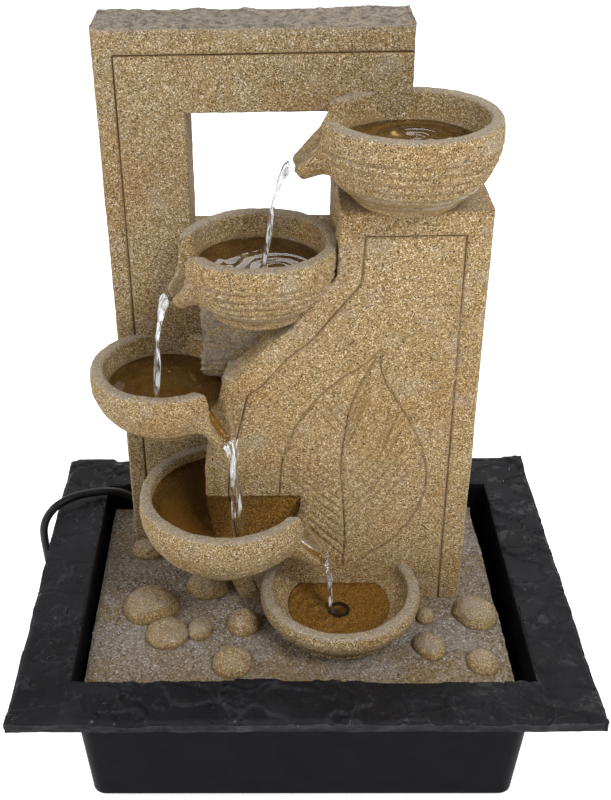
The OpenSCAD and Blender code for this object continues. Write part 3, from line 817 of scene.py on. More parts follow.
class NodeShape:
    """A mesh made by geometry nodes, with named inputs for its sizes."""

    def __init__(self, name: str, **inputs: float | int) -> None:
        """Starts the tree.

        Args:
            name: name of the tree.
            inputs: each input's name and value.
        """
        self.tree = bpy.data.node_groups.new(name, "GeometryNodeTree")
        self.tree.interface.new_socket("Geometry", in_out="INPUT", socket_type="NodeSocketGeometry")
        self.tree.interface.new_socket("Geometry", in_out="OUTPUT", socket_type="NodeSocketGeometry")
        self.inputs = inputs
        for key, value in inputs.items():
            kind = "NodeSocketInt" if isinstance(value, int) else "NodeSocketFloat"
            self.tree.interface.new_socket(key, in_out="INPUT", socket_type=kind)
        self.graph = Graph(self.tree)
        self.source = self.graph.add("NodeGroupInput")

    def size(self, name: str) -> Socket:
        """A named input."""
        return self.source.out(name)

    def facing_up(self, least: float) -> Socket:
        """Whether a face's normal points up by more than this."""
        up = self.graph.add(
            "ShaderNodeSeparateXYZ", values={0: self.graph.add("GeometryNodeInputNormal")}, out="Z"
        )
        settings = {"data_type": "FLOAT", "operation": "GREATER_THAN"}
        return self.graph.add("FunctionNodeCompare", settings, {0: up, 1: least})

    def named(self, name: str) -> Socket:
        """A value that the seed's mesh holds at each point."""
        values = {"Name": name}
        return self.graph.add("GeometryNodeInputNamedAttribute", {"data_type": "FLOAT"}, values)

    def circle(self, sides: int, radius: float) -> Socket:
        """A flat circle, as a curve."""
        values = {"Resolution": sides, "Radius": radius}
        return self.graph.add("GeometryNodeCurvePrimitiveCircle", {"mode": "RADIUS"}, values)

    def ball(self, radius: Value, fineness: int) -> Socket:
        """A round mesh, whose faces are split this many times."""
        values = {"Radius": radius, "Subdivisions": fineness}
        return self.graph.add("GeometryNodeMeshIcoSphere", values=values)

    def chance(self, low: float, high: float, seed: int) -> Socket:
        """A random number between these for each copy."""
        values = {2: low, 3: high, "Seed": seed}
        return self.graph.add("FunctionNodeRandomValue", {"data_type": "FLOAT"}, values, out=1)

    def copies(self, points: Socket, what: Socket, size: Value, turn: Value = (0.0, 0.0, 0.0)) -> Socket:
        """One copy of a shape at each point."""
        values = {"Points": points, "Instance": what, "Scale": size, "Rotation": turn}
        return self.graph.add("GeometryNodeInstanceOnPoints", values=values)

    def finish(self, shape: Socket, seed: Obj, material: bpy.types.Material) -> Obj:
        """Ends the tree, evaluates it on a seed object and keeps the plain mesh.

        Args:
            shape: the geometry that the tree makes.
            seed: the object whose mesh the tree starts from.
            material: what the result is made of.

        Returns:
            The seed object, which now holds the result.
        """
        g = self.graph
        real = g.add("GeometryNodeRealizeInstances", values={"Geometry": shape})
        dressed = g.add("GeometryNodeSetMaterial", values={"Geometry": real, "Material": material})
        g.add("NodeGroupOutput", values={0: dressed})
        modifier = seed.modifiers.new("shape", "NODES")
        modifier.node_group = self.tree
        for item in self.tree.interface.items_tree:
            if item.in_out == "INPUT" and item.name in self.inputs:
                modifier[item.identifier] = self.inputs[item.name]
        settle(seed)
        seed.data.shade_smooth()
        return seed


def seed_object(name: str, points: Array, edges: Sequence = (), faces: Sequence = ()) -> Obj:
    """A bare mesh object for a geometry nodes tree to start from."""
    mesh = bpy.data.meshes.new(name)
    mesh.from_pydata(np.asarray(points, float).tolist(), list(edges), list(faces))
    return show(bpy.data.objects.new(name, mesh))


def copy_of(piece: Obj, name: str) -> Obj:
    """A second object with a copy of a piece's mesh."""
    return show(bpy.data.objects.new(name, piece.data.copy()))


# ---------------------------------------------------------------------- cords


@dataclass
class Cord:
    """The mains cord, its coil, strain relief and plug."""

    diameter: float = 5.2 * MM
    length: float = 1.5
    coil_centre: Pair = (-60 * MM, 190 * MM)
    per_turn: int = 36
    spacing: float = 2.5 * MM
    sides: int = 12
    plug_length: float = 30 * MM

    def route(self) -> Array:
        """Points along the stretch from the pump to the coil."""
        return MM * np.array([
            (-12, 12, 22), (-20, 12, 22), (-32, 14, 18), (-43, 20, 12), (-53, 31, 8.5),
            (-61, 45, 9.5), (-67, 58, 17), (-72, 69, 29), (-76, 76, 42), (-81, 80, 56),
            (-87, 81, 69), (-95, 81, 80), (-104, 80, 90), (-113, 77.5, 97.6), (-122, 74.5, 101.3),
            (-132, 71, 102.6), (-139, 67.5, 103.3), (-144.5, 64, 103.2), (-149.5, 60.8, 102.3),
            (-154, 58, 100), (-158, 55.5, 95.6), (-160.5, 54, 90), (-161.5, 53.5, 83),
            (-161.5, 54.3, 69), (-161.5, 57, 55),
            (-161, 62, 41), (-160.5, 69, 28), (-160, 78.5, 16), (-159.5, 90, 7.8),
            (-158, 103, 3.6), (-154, 116, 2.6), (-147, 129, 2.6), (-137, 140, 2.6),
            (-124, 149, 2.6), (-110, 154, 2.6), (-96, 156, 2.7), (-84, 156.3, 3),
            (-74, 156.3, 3.2),
        ])

    def turns(self) -> Array:
        """Points round the coil: three turns below, then two on top."""
        radii = [33.7, 28.5, 23.3, 25.9, 31.1]
        low, high = 3.2, 7.8
        shift = 0.11
        points = []
        for turn, radius in enumerate(radii):
            after = radii[min(turn + 1, len(radii) - 1)]
            for k in range(self.per_turn):
                t = k / self.per_turn
                if turn == 2:
                    level = low + (high - low) * float(ease(np.array(t), 0.62, 0.72))
                    r = radius + (after - radius) * float(ease(np.array(t), 0.67, 0.78))
                else:
                    level = low if turn < 2 else high
                    r = radius + (after - radius) * float(ease(np.array(t), 1 - shift, 1.0))
                if level == high:
                    level += 0.8 * float(ease(np.array(t), 0.8, 0.9) * (1 - ease(np.array(t), 0.95, 1.0)))
                angle = -math.pi / 2 + 2 * math.pi * t
                points.append((r * math.cos(angle), r * math.sin(angle), level))
        points = np.array(points) * MM
        points[:, 0] += self.coil_centre[0]
        points[:, 1] += self.coil_centre[1]
        return points

    def tail(self) -> Array:
        """Points from the coil to the plug."""
        places = [(x, 158.9, 7) for x in range(-48, 1, 12)]
        return MM * np.array([(-60, 158.9, 7.8), *places])

    def path(self) -> Array:
        """The whole centreline, evenly spaced."""
        smooth = curve_through(np.vstack([self.route(), self.turns(), self.tail()]), 6)
        along = np.concatenate([[0], np.cumsum(np.linalg.norm(np.diff(smooth, axis=0), axis=1))])
        even = np.linspace(0, along[-1], int(along[-1] / self.spacing))
        return np.stack([np.interp(even, along, smooth[:, i]) for i in range(3)], 1)

    def build(self) -> None:
        """Makes the cord, the strain relief and the plug."""
        path = self.path()
        heading = np.gradient(path, axis=0)
        heading /= np.linalg.norm(heading, axis=1)[:, None]
        side, rings = Vector((0, 0, 1)), []
        for point, ahead in zip(path, heading):
            ahead = Vector(ahead)
            side = (side - ahead * side.dot(ahead)).normalized()
            other = ahead.cross(side)
            for k in range(self.sides):
                angle = 2 * math.pi * k / self.sides
                out = side * math.cos(angle) + other * math.sin(angle)
                rings.append(Vector(point) + out * self.diameter / 2)
        cord = add_piece("mains_cord", np.array(rings), tube_faces(len(path), self.sides), CORD_BLACK.make())
        put_on(cord, Slot.CORD, "cord_run", "cord_coil", "cord_tail")
        plug, gland = self.plug(), self.strain_relief()

    def plug(self) -> Obj:
        """A moulded plug whose grip has ridges across it."""
        low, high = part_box("plug_body")
        middle_y, middle_z = (low[1] + high[1]) / 2, (low[2] + high[2]) / 2
        half_w, half_t = (high[1] - low[1]) / 2, (high[2] - low[2]) / 2
        body_x = high[0] - self.plug_length
        stations = np.concatenate([np.linspace(low[0], body_x, 22), np.linspace(body_x, high[0], 44)[1:]])
        rings, sides = [], 40
        for x in stations:
            t = (x - low[0]) / (body_x - low[0])
            if t <= 1:
                swell = self.diameter / 2 + 0.5 * MM + 1.6 * MM * t
                swell += 0.35 * MM * math.cos(x / MM * 2 * math.pi / 3.2) * (t < 0.96)
                w = h = swell
                power = 2.0
            else:
                s = (x - body_x) / self.plug_length
                grow = float(ease(np.array(s), 0.0, 0.35))
                shrink = 1 - 0.06 * float(ease(np.array(s), 0.9, 1.0))
                w = (4.7 * MM + (half_w - 4.7 * MM) * grow) * shrink
                h = (4.7 * MM + (half_t - 4.7 * MM) * grow) * shrink
                w -= 0.4 * MM * (1 + math.cos(s * 2 * math.pi * 9)) * float(0.2 < s < 0.8)
                power = 2.0 + 2.5 * grow
            for k in range(sides):
                angle = 2 * math.pi * k / sides
                c, d = math.cos(angle), math.sin(angle)
                scale = (abs(c) ** power + abs(d) ** power) ** (-1 / power)
                rings.append((x, middle_y + w * c * scale, middle_z + h * d * scale))
        plug = add_piece("moulded_plug", np.array(rings), tube_faces(len(stations), sides), CORD_BLACK.make())
        return put_on(plug, Slot.CORD, "plug_body")

    def strain_relief(self) -> Obj:
        """A tapered sleeve with ribs round it, laid out by geometry nodes."""
        low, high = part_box("cord_gland")
        centre_y, centre_z = (low[1] + high[1]) / 2, (low[2] + high[2]) / 2
        big = (high[1] - low[1]) / 2
        small, count = self.diameter / 2 + 0.4 * MM, 7
        shape = NodeShape(
            "ribbed_sleeve", Length=float(high[0] - low[0]), Big=float(big), Small=float(small), Ribs=count
        )
        g = shape.graph
        cone = g.add("GeometryNodeMeshCone", {}, {
            "Vertices": 40, "Radius Top": shape.size("Small"), "Radius Bottom": shape.size("Big") - 0.5 * MM,
            "Depth": shape.size("Length"),
        })
        line = g.add("GeometryNodeMeshLine", {"mode": "OFFSET"}, {
            "Count": shape.size("Ribs"), "Offset": (0, 0, 2.9 * MM), "Start Location": (0, 0, 1.6 * MM),
        })
        index = g.add("GeometryNodeInputIndex")
        size = shape.size("Big") - 0.6 * MM - index * ((big - self.diameter / 2) / count)
        even = g.add("ShaderNodeCombineXYZ", values={0: size, 1: size, 2: size})
        rings = shape.copies(line, shape.circle(40, 1.0), even)
        real = g.add("GeometryNodeRealizeInstances", values={"Geometry": rings})
        wire = shape.circle(8, 0.85 * MM)
        ribs = g.add("GeometryNodeCurveToMesh", values={"Curve": real, "Profile Curve": wire})
        both = g.add("GeometryNodeJoinGeometry")
        for part in (cone, ribs):
            g.tree.links.new(part.socket, both.socket.node.inputs[0])
        moved = g.add("GeometryNodeTransform", values={
            "Geometry": both, "Translation": (float(high[0]), float(centre_y), float(centre_z)),
            "Rotation": (0.0, -math.pi / 2, 0.0),
        })
        seed = seed_object("strain_relief", np.zeros((1, 3)))
        piece = shape.finish(moved, seed, RUBBER.make())
        return put_on(piece, Slot.RUBBER, "cord_gland")


# ---------------------------------------------------------------------- studio


@dataclass
class Studio:
    """Camera, pale floor and soft lights."""

    camera_at: Triple = (-15.34 * MM, -503.48 * MM, 529.64 * MM)
    yaw: float = -1.386
    pitch: float = 33.222
    roll: float = -1.183
    lens: float = 50.24
    shift: Pair = (0.070, 0.032)
    glow: float = 0.62

    def build(self) -> None:
        """Makes the camera, the lights, the world and the floor."""
        self._camera()
        self._world()
        self._floor()
        self._light("key", (0.55, -0.75, 1.25), 0.45, 12.5)
        self._light("left_fill", (-1.1, -0.25, 0.8), 0.8, 6.0)
        self._light("back_rim", (0.2, 1.1, 1.1), 0.8, 5.0)

    def _camera(self) -> None:
        """A camera at eye height in front of the fountain."""
        data = bpy.data.cameras.new("camera")
        data.lens, data.sensor_width = self.lens, 36.0
        data.shift_x, data.shift_y = self.shift
        data.clip_start, data.clip_end = 0.01, 50.0
        camera = show(bpy.data.objects.new("camera", data))
        yaw, pitch, roll = (math.radians(a) for a in (self.yaw, self.pitch, self.roll))
        ahead = Vector((math.sin(yaw) * math.cos(pitch), math.cos(yaw) * math.cos(pitch), -math.sin(pitch)))
        right = Vector((math.cos(yaw), -math.sin(yaw), 0))
        up = right.cross(ahead)
        x = right * math.cos(roll) + up * math.sin(roll)
        y = -right * math.sin(roll) + up * math.cos(roll)
        turn = Matrix((x, y, -ahead)).transposed().to_4x4()
        camera.matrix_world = Matrix.Translation(self.camera_at) @ turn
        bpy.context.scene.camera = camera

    def _world(self) -> None:
        """A plain white surround."""
        world = bpy.data.worlds.new("surround")
        world.use_nodes = True
        values = world.node_tree.nodes["Background"].inputs
        values["Color"].default_value = (1.0, 1.0, 1.0, 1.0)
        values["Strength"].default_value = self.glow
        bpy.context.scene.world = world
        bpy.context.scene.view_settings.view_transform = "Standard"

    def _floor(self) -> None:
        """A pale floor under the feet."""
        material = bpy.data.materials.new("floor")
        material.use_nodes = True
        values = material.node_tree.nodes["Principled BSDF"].inputs
        values["Base Color"].default_value = (0.93, 0.93, 0.93, 1.0)
        values["Roughness"].default_value = 0.9
        values["Specular IOR Level"].default_value = 0.0
        values["Emission Color"].default_value = (1.0, 1.0, 1.0, 1.0)
        values["Emission Strength"].default_value = self.glow
        reach = 6.0
        corners = np.array([(-reach, -reach, 0), (reach, -reach, 0), (reach, reach, 0), (-reach, reach, 0)])
        floor = add_piece("floor", corners, [(0, 1, 2, 3)], material)

    def _light(self, name: str, at: Triple, size: float, power: float) -> None:
        """A soft square light that looks at the fountain's middle."""
        data = bpy.data.lights.new(name, "AREA")
        data.shape, data.size, data.energy = "SQUARE", size, power
        light = show(bpy.data.objects.new(name, data))
        aim = Vector((0, 0, 0.2)) - Vector(at)
        light.matrix_world = Matrix.Translation(at) @ aim.to_track_quat("-Z", "Y").to_matrix().to_4x4()


# ----------------------------------------------------------------- the basin


@dataclass
class Basin:
    """Tub with a split-slate rim."""

    rim_t: float = 7 * MM
    border: float = 30 * MM
    step: float = 1.0 * MM
    tub_wall: float = 3 * MM
    draft: float = 5.5 * MM
    corner: float = 8 * MM
    foot_h: float = 2 * MM

    def build(self) -> None:
        """Makes the rim, the tub and the drops on the rim."""
        self.low, self.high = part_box("basin")
        self._rim()
        self._tub()

    def _relief(self, x: Array, y: Array) -> tuple[Array, Array]:
        """Height of the split layers, and how near each place is to a layer's edge."""
        rough = Noise(11)
        warp = rough.fbm(x, y, 0.3, 30 * MM, 3) * 9 * MM
        height, edge = np.zeros(x.shape), np.zeros(x.shape)
        layers = ((0.06, 46, 0.9), (-0.10, 30, 0.7), (0.14, 22, 0.6), (0.0, 60, 0.8))
        for k, (level, size, rise) in enumerate(layers):
            field = Noise(20 + k).fbm(x + warp, y - warp * 0.6, 0.7 * k, size * MM, 4)
            height += 1.25 * rise * MM * ease(field, level - 0.012, level + 0.022)
            edge = np.maximum(edge, np.exp(-((field - level - 0.01) / 0.022) ** 2))
        height += 0.35 * MM * rough.fbm(x, y, 2.2, 9 * MM, 4)
        creases = np.abs(rough.fbm(x * 0.6, y * 1.3, 5.5, 34 * MM, 3))
        height -= 0.8 * MM * np.exp(-((creases / 0.02) ** 2))
        return height - 2.9 * MM, edge

    def _rim(self) -> None:
        """The rim, whose top is split in thin layers."""
        low, high = self.low, self.high
        border, step = self.border, self.step
        xs = grid_lines(low[0], high[0], step, (low[0] + border, high[0] - border))
        ys = grid_lines(low[1], high[1], step, (low[1] + border, high[1] - border))
        x, y = np.meshgrid(xs, ys)
        middle_x, middle_y = (x[:-1, :-1] + x[1:, 1:]) / 2, (y[:-1, :-1] + y[1:, 1:]) / 2
        inner = (np.abs(middle_x) < high[0] - border) & (np.abs(middle_y) < high[1] - border)
        relief, _ = self._relief(x, y)
        outer = np.minimum(high[0] - np.abs(x), high[1] - np.abs(y))
        across = np.maximum(np.abs(x) - (high[0] - border), np.abs(y) - (high[1] - border))
        chips = Noise(31).fbm(x, y, 0.0, 16 * MM, 4)
        wear = 1.1 * MM + 1.4 * MM * np.clip(chips, 0, 1)
        fall = (1 - ease(outer, 0.0, 3.2 * MM)) * wear + (1 - ease(across, 0.0, 1.4 * MM)) * 0.5 * MM
        top = high[2] + relief - fall
        points, faces = slab(x, y, ~inner, top, high[2] - self.rim_t, 5)
        rim = add_piece("slate_rim", points, faces, SLATE.make())
        close_flat(rim, Vector((0, 0, -1)))
        places, normals = points_of(rim)
        outside = np.minimum(high[0] - np.abs(places[:, 0]), high[1] - np.abs(places[:, 1])) < 0.3 * MM
        bite = Noise(37).fbm(places[:, 0], places[:, 1], places[:, 2] * 3, 12 * MM, 4)
        places[:, :2] -= normals[:, :2] * (outside * np.clip(0.5 + bite, 0, 1) * 1.3 * MM)[:, None]
        move_points(rim, places)
        _, edge = self._relief(places[:, 0], places[:, 1])
        paint(rim, edge=np.clip(edge * 0.9 + outside * 0.5, 0, 1) * ease(normals[:, 2], -0.2, 0.4))
        crease(rim, 50)
        put_on(rim, Slot.SLATE, "basin")
        self._drops(rim)

    def _drops(self, rim: Obj) -> None:
        """Water beads that stand here and there on the rim, laid by geometry nodes."""
        shape = NodeShape("rim_drops", Density=1400.0, Seed=7, Radius=1.15 * MM)
        g = shape.graph
        scatter = g.add("GeometryNodeDistributePointsOnFaces", {"distribute_method": "POISSON"}, {
            "Mesh": shape.source, "Selection": shape.facing_up(0.9), "Distance Min": 9 * MM,
            "Density Max": shape.size("Density"), "Seed": shape.size("Seed"),
        })
        bead = g.add("GeometryNodeTransform", values={
            "Geometry": shape.ball(shape.size("Radius"), 3), "Scale": (1.0, 1.0, 0.55),
        })
        beads = shape.copies(scatter, bead, shape.chance(0.35, 1.3, 3))
        drops = shape.finish(beads, copy_of(rim, "rim_drops"), DROPS.make())
        put_on(drops, Slot.WATER)

    def _tub_ring(self, z: float, pull: float, inner: bool) -> list[tuple[float, ...]]:
        """Points round the tub at one level, drawn in by a share of its taper."""
        wall = 0.0 if inner else self.tub_wall
        corner = self.corner - (self.tub_wall if inner else 0)
        w = self.high[0] - self.border + wall - self.draft * pull - corner
        d = self.high[1] - self.border + wall - self.draft * pull - corner
        arc, straight, ring = 10, 14, []
        turns = ((1, -1), (1, 1), (-1, 1), (-1, -1))
        for q, (sx, sy) in enumerate(turns):
            start = -math.pi / 2 + q * math.pi / 2
            for k in range(arc):
                a = start + math.pi / 2 * k / (arc - 1)
                ring.append((sx * w + corner * math.cos(a), sy * d + corner * math.sin(a), z))
            next_x, next_y = turns[(q + 1) % 4]
            a = start + math.pi / 2
            here = np.array(ring[-1])
            there = np.array((next_x * w + corner * math.cos(a), next_y * d + corner * math.sin(a), z))
            ring += [tuple(here + (there - here) * k / straight) for k in range(1, straight)]
        return ring

    def _tub(self) -> None:
        """The tub: rounded corners, a slight taper and a moulded bead at its foot."""
        top, foot, floor = self.high[2] - self.rim_t, self.foot_h, self.foot_h + self.tub_wall
        outside = [
            (top + 1.5 * MM, 0.0), (top - 24 * MM, 0.35), (top - 26 * MM, 0.42), (foot + 6 * MM, 0.96),
            (foot + 1.6 * MM, 1.0), (foot, 1.35), (foot, 3.0),
        ]
        inside = [(floor, 3.0), (floor, 1.0), (floor + 2 * MM, 0.95), (top + 1.5 * MM, 0.0)]
        rings = [self._tub_ring(*level, False) for level in outside]
        rings += [self._tub_ring(*level, True) for level in inside]
        sides, count, bottom = len(rings[0]), len(rings), len(outside) - 1
        faces = []
        for r in range(count):
            if r == bottom:
                continue
            this, other = r * sides, (r + 1) % count * sides
            for k in range(sides):
                n = (k + 1) % sides
                faces.append((this + k, other + k, other + n, this + n))
        faces.append(tuple(range(bottom * sides, (bottom + 1) * sides))[::-1])
        faces.append(tuple(range((bottom + 1) * sides, (bottom + 2) * sides)))
        points = np.array(rings).reshape(-1, 3)
        tub = add_piece("tub", points, faces, TUB.make())
        crease(tub, 30)
        put_on(tub, Slot.SLATE, "basin")


# ------------------------------------------------------------ the stone tower


@dataclass
class Tower:
    """Sizes that the wall, the panel, the deck and the bowls share.

    The bay holds the pump, behind the panel's foot. The flue holds the riser, up
    the panel's column.
    """

    shell: float = 7 * MM
    column_w: float = 75.5 * MM
    bay_x: Pair = (-28 * MM, 47 * MM)
    bay_top: float = 166 * MM
    flue_right: float = 83.5 * MM
    riser_bore: float = 6.9 * MM

    def __post_init__(self) -> None:
        """Reads the boxes of the wall and the panel."""
        self.wall_low, self.wall_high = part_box("back_wall")
        self.panel_low, self.panel_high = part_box("front_panel")
        self.deck_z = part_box("deck")[1][2]
        face, top = self.panel_low[1], self.panel_high[2]
        self.window = (
            (self.wall_low[0] + 44 * MM, self.wall_low[1], self.wall_high[2] - 110 * MM),
            (self.wall_low[0] + 117.5 * MM, self.wall_high[1], self.wall_high[2] - 42 * MM),
        )
        right = self.panel_high[0]
        column = right - self.column_w
        foot = self.deck_z
        slope = [(0, 0), (-1.5, -33), (-14, -49), (-23, -61), (-34, -70), (-47, -86), (-57.5, -94)]
        waist = [(-47.5, 112), (-51.5, 91), (-52.5, 76), (-48, 41), (-41, 17), (-35, 0)]
        self.left_line = [(column + a * MM, top + b * MM) for a, b in slope]
        self.left_line += [(a * MM, foot + b * MM) for a, b in waist]
        self.right_line = [(right - 3 * MM, top), (right, foot)]
        self.face = face

    def outline(self) -> list[Pair]:
        """The panel's closed outline, seen from the front."""
        return [*self.left_line, *self.right_line[::-1]]

    def distance(self, x: Array, y: Array, z: Array, windowed: bool) -> Array:
        """Signed distance to the tower's outside."""
        wall = box_distance(x, y, z, self.wall_low, self.wall_high)
        if windowed:
            low, high = self.window
            beyond = np.array((0, 1, 0))
            wall = np.maximum(wall, -box_distance(x, y, z, low - beyond, high + beyond))
        sheet = outline_distance(x[:, 0, :], z[0, 0, :][None, :], self.outline())[:, None, :]
        panel = np.maximum(sheet, np.maximum(self.face - y, y - self.panel_high[1]))
        return np.minimum(wall, panel)


def groove(distance: Array, half: float, depth: float) -> Array:
    """Depth of a rounded groove at a distance from its middle."""
    return depth * np.exp(-((distance / half) ** 2) * 1.6)


@dataclass
class BackWall:
    """The tall wall with its window, border groove and rear recess."""

    tower: Tower
    step: float = 1.3 * MM
    side_groove: float = 10 * MM
    top_groove: float = 13.5 * MM
    groove_depth: float = 1.0 * MM
    edge_r: float = 1.6 * MM
    ledge: float = 4 * MM
    bay_y: Pair = (30 * MM, 45 * MM)
    bay_foot: float = 60 * MM

    def build(self) -> None:
        """Makes the wall, cuts its hollow and recess, and dresses it."""
        low, high = self.tower.wall_low, self.tower.wall_high
        window_low, window_high = self.tower.window
        line_x, line_z = low[0] + self.side_groove, high[2] - self.top_groove
        xs = grid_lines(low[0], high[0], self.step, (line_x, window_low[0], window_high[0]))
        zs = grid_lines(low[2], high[2], self.step, (line_z, window_low[2], window_high[2]))
        x, z = np.meshgrid(xs, zs)
        middle_x, middle_z = (x[:-1, :-1] + x[1:, 1:]) / 2, (z[:-1, :-1] + z[1:, 1:]) / 2
        in_window = (middle_x > window_low[0]) & (middle_x < window_high[0])
        in_window &= (middle_z > window_low[2]) & (middle_z < window_high[2])
        upright = np.where(z < line_z, np.abs(x - line_x), np.hypot(x - line_x, z - line_z))
        level = np.where(x > line_x, np.abs(z - line_z), np.hypot(x - line_x, z - line_z))
        cuts = groove(np.minimum(upright, level), 0.75 * MM, self.groove_depth)
        outer = np.minimum(np.minimum(x - low[0], high[0] - x), high[2] - z)
        beside = np.maximum(window_low[0] - x, x - window_high[0])
        around = np.maximum(beside, np.maximum(window_low[2] - z, z - window_high[2]))
        rounding = rounded(np.minimum(outer, around), self.edge_r)
        points, faces = slab(
            x, z, ~in_window, -low[1] - cuts - rounding, 0.0, 26, under=np.full(x.shape, -high[1]) + rounding
        )
        wall = add_piece("back_wall_stone", stood_up(points), faces, SHADED_WALL_STONE.make())
        places, normals = points_of(wall)
        crown = ease(places[:, 2], high[2] - 2.5 * MM, high[2] - 0.5 * MM) * ease(normals[:, 2], 0.2, 0.7)
        chop = Noise(41).fbm(*(places * (1.0, 1.6, 1.0)).T, 13 * MM, 4)
        chop += 0.5 * Noise(45).fbm(*places.T, 4.5 * MM, 3)
        places -= normals * (crown * np.maximum(0.9 + 2.4 * chop, 0) * MM)[:, None]
        move_points(wall, places)
        roughen(wall, 42, 3.2 * MM, 0.30 * MM)
        roughen(wall, 43, 40 * MM, 0.5 * MM, 2)
        door_low, door_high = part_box("access_door")
        bay_x, gap, shell = self.tower.bay_x, 0.6 * MM, self.tower.shell
        inner_low = (low[0] + shell, low[1] + shell, low[2] - shell)
        inner_high = (high[0] - shell, high[1] - shell, window_low[2] - shell)
        cut(
            wall,
            (inner_low, inner_high),
            (inner_low, (window_low[0] - shell, inner_high[1], high[2] - shell)),
            (
                (window_high[0] + shell, inner_low[1], low[2] - shell),
                (high[0] - shell, inner_high[1], high[2] - shell),
            ),
            ((bay_x[0], self.bay_y[0], self.bay_foot), (bay_x[1], self.bay_y[1], self.tower.bay_top)),
            (
                (door_low[0] - gap, door_low[1], door_low[2] - gap),
                (door_high[0] + gap, high[1] + shell, door_high[2] + gap),
            ),
            (
                (door_low[0] + self.ledge, high[1] - shell - MM, door_low[2] + self.ledge),
                (door_high[0] - self.ledge, high[1] + shell, door_high[2] - self.ledge),
            ),
        )
        places, normals = points_of(wall)
        depth = groove(np.minimum(
            np.where(places[:, 2] < line_z, np.abs(places[:, 0] - line_x), 1),
            np.where(places[:, 0] > line_x, np.abs(places[:, 2] - line_z), 1),
        ), 0.85 * MM, 1.0) * (normals[:, 1] < -0.2)
        stain = Noise(44).fbm(*places.T, 30 * MM, 3)
        crown = ease(places[:, 2], high[2] - 6 * MM, high[2] - 1 * MM)
        # Painted shade: the wall darkens over its lowest 90 mm above the deck, behind the bowls.
        foot = 1 - ease(places[:, 2], self.tower.deck_z, self.tower.deck_z + 90 * MM)
        paint(
            wall,
            wash=np.clip(depth * 1.5 + np.clip(stain, 0, 1) * 0.5 + foot * 0.75 + 0.12, 0, 1.6),
            pale=crown * ease(normals[:, 2], 0.0, 0.6) * 1.2 + crown * 0.35,
            wet=np.zeros(1),
        )
        crease(wall)
        put_on(wall, Slot.SANDSTONE, "back_wall")


@dataclass
class RearDoor:
    """The door in the wall's back, with a finger hole."""

    finger_r: float = 9 * MM
    finger_rise: float = 45 * MM

    def build(self) -> None:
        """Makes the door with rounded edges."""
        low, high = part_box("access_door")
        xs, zs = grid_lines(low[0], high[0], 1.4 * MM), grid_lines(low[2], high[2], 1.4 * MM)
        x, z = np.meshgrid(xs, zs)
        outer = np.minimum(np.minimum(x - low[0], high[0] - x), np.minimum(z - low[2], high[2] - z))
        rounding = rounded(outer, 1.0 * MM)
        border = groove(np.abs(outer - 6 * MM), 0.7 * MM, 0.5 * MM)
        keep = np.ones((len(zs) - 1, len(xs) - 1), bool)
        under = -high[1] + rounding + border
        points, faces = slab(x, z, keep, -low[1] - rounding * 0.4, 0.0, 4, under=under)
        door = add_piece("rear_door_stone", stood_up(points), faces, SANDSTONE.make())
        middle = ((low[0] + high[0]) / 2, 0.0, low[2] - 0.6 * MM + self.finger_rise)
        cut(door, tubes=[(middle, 1, self.finger_r, low[1] - 2 * MM, high[1] + 2 * MM)])
        places, _ = points_of(door)
        hole = np.hypot(places[:, 0] - middle[0], places[:, 2] - middle[2])
        paint(
            door,
            wash=np.clip(0.25 + 0.8 * (1 - ease(hole, self.finger_r, self.finger_r + 5 * MM)), 0, 1),
            pale=np.zeros(1), wet=np.zeros(1),
        )
        crease(door)
        put_on(door, Slot.SANDSTONE, "access_door", body=Body.DOOR)


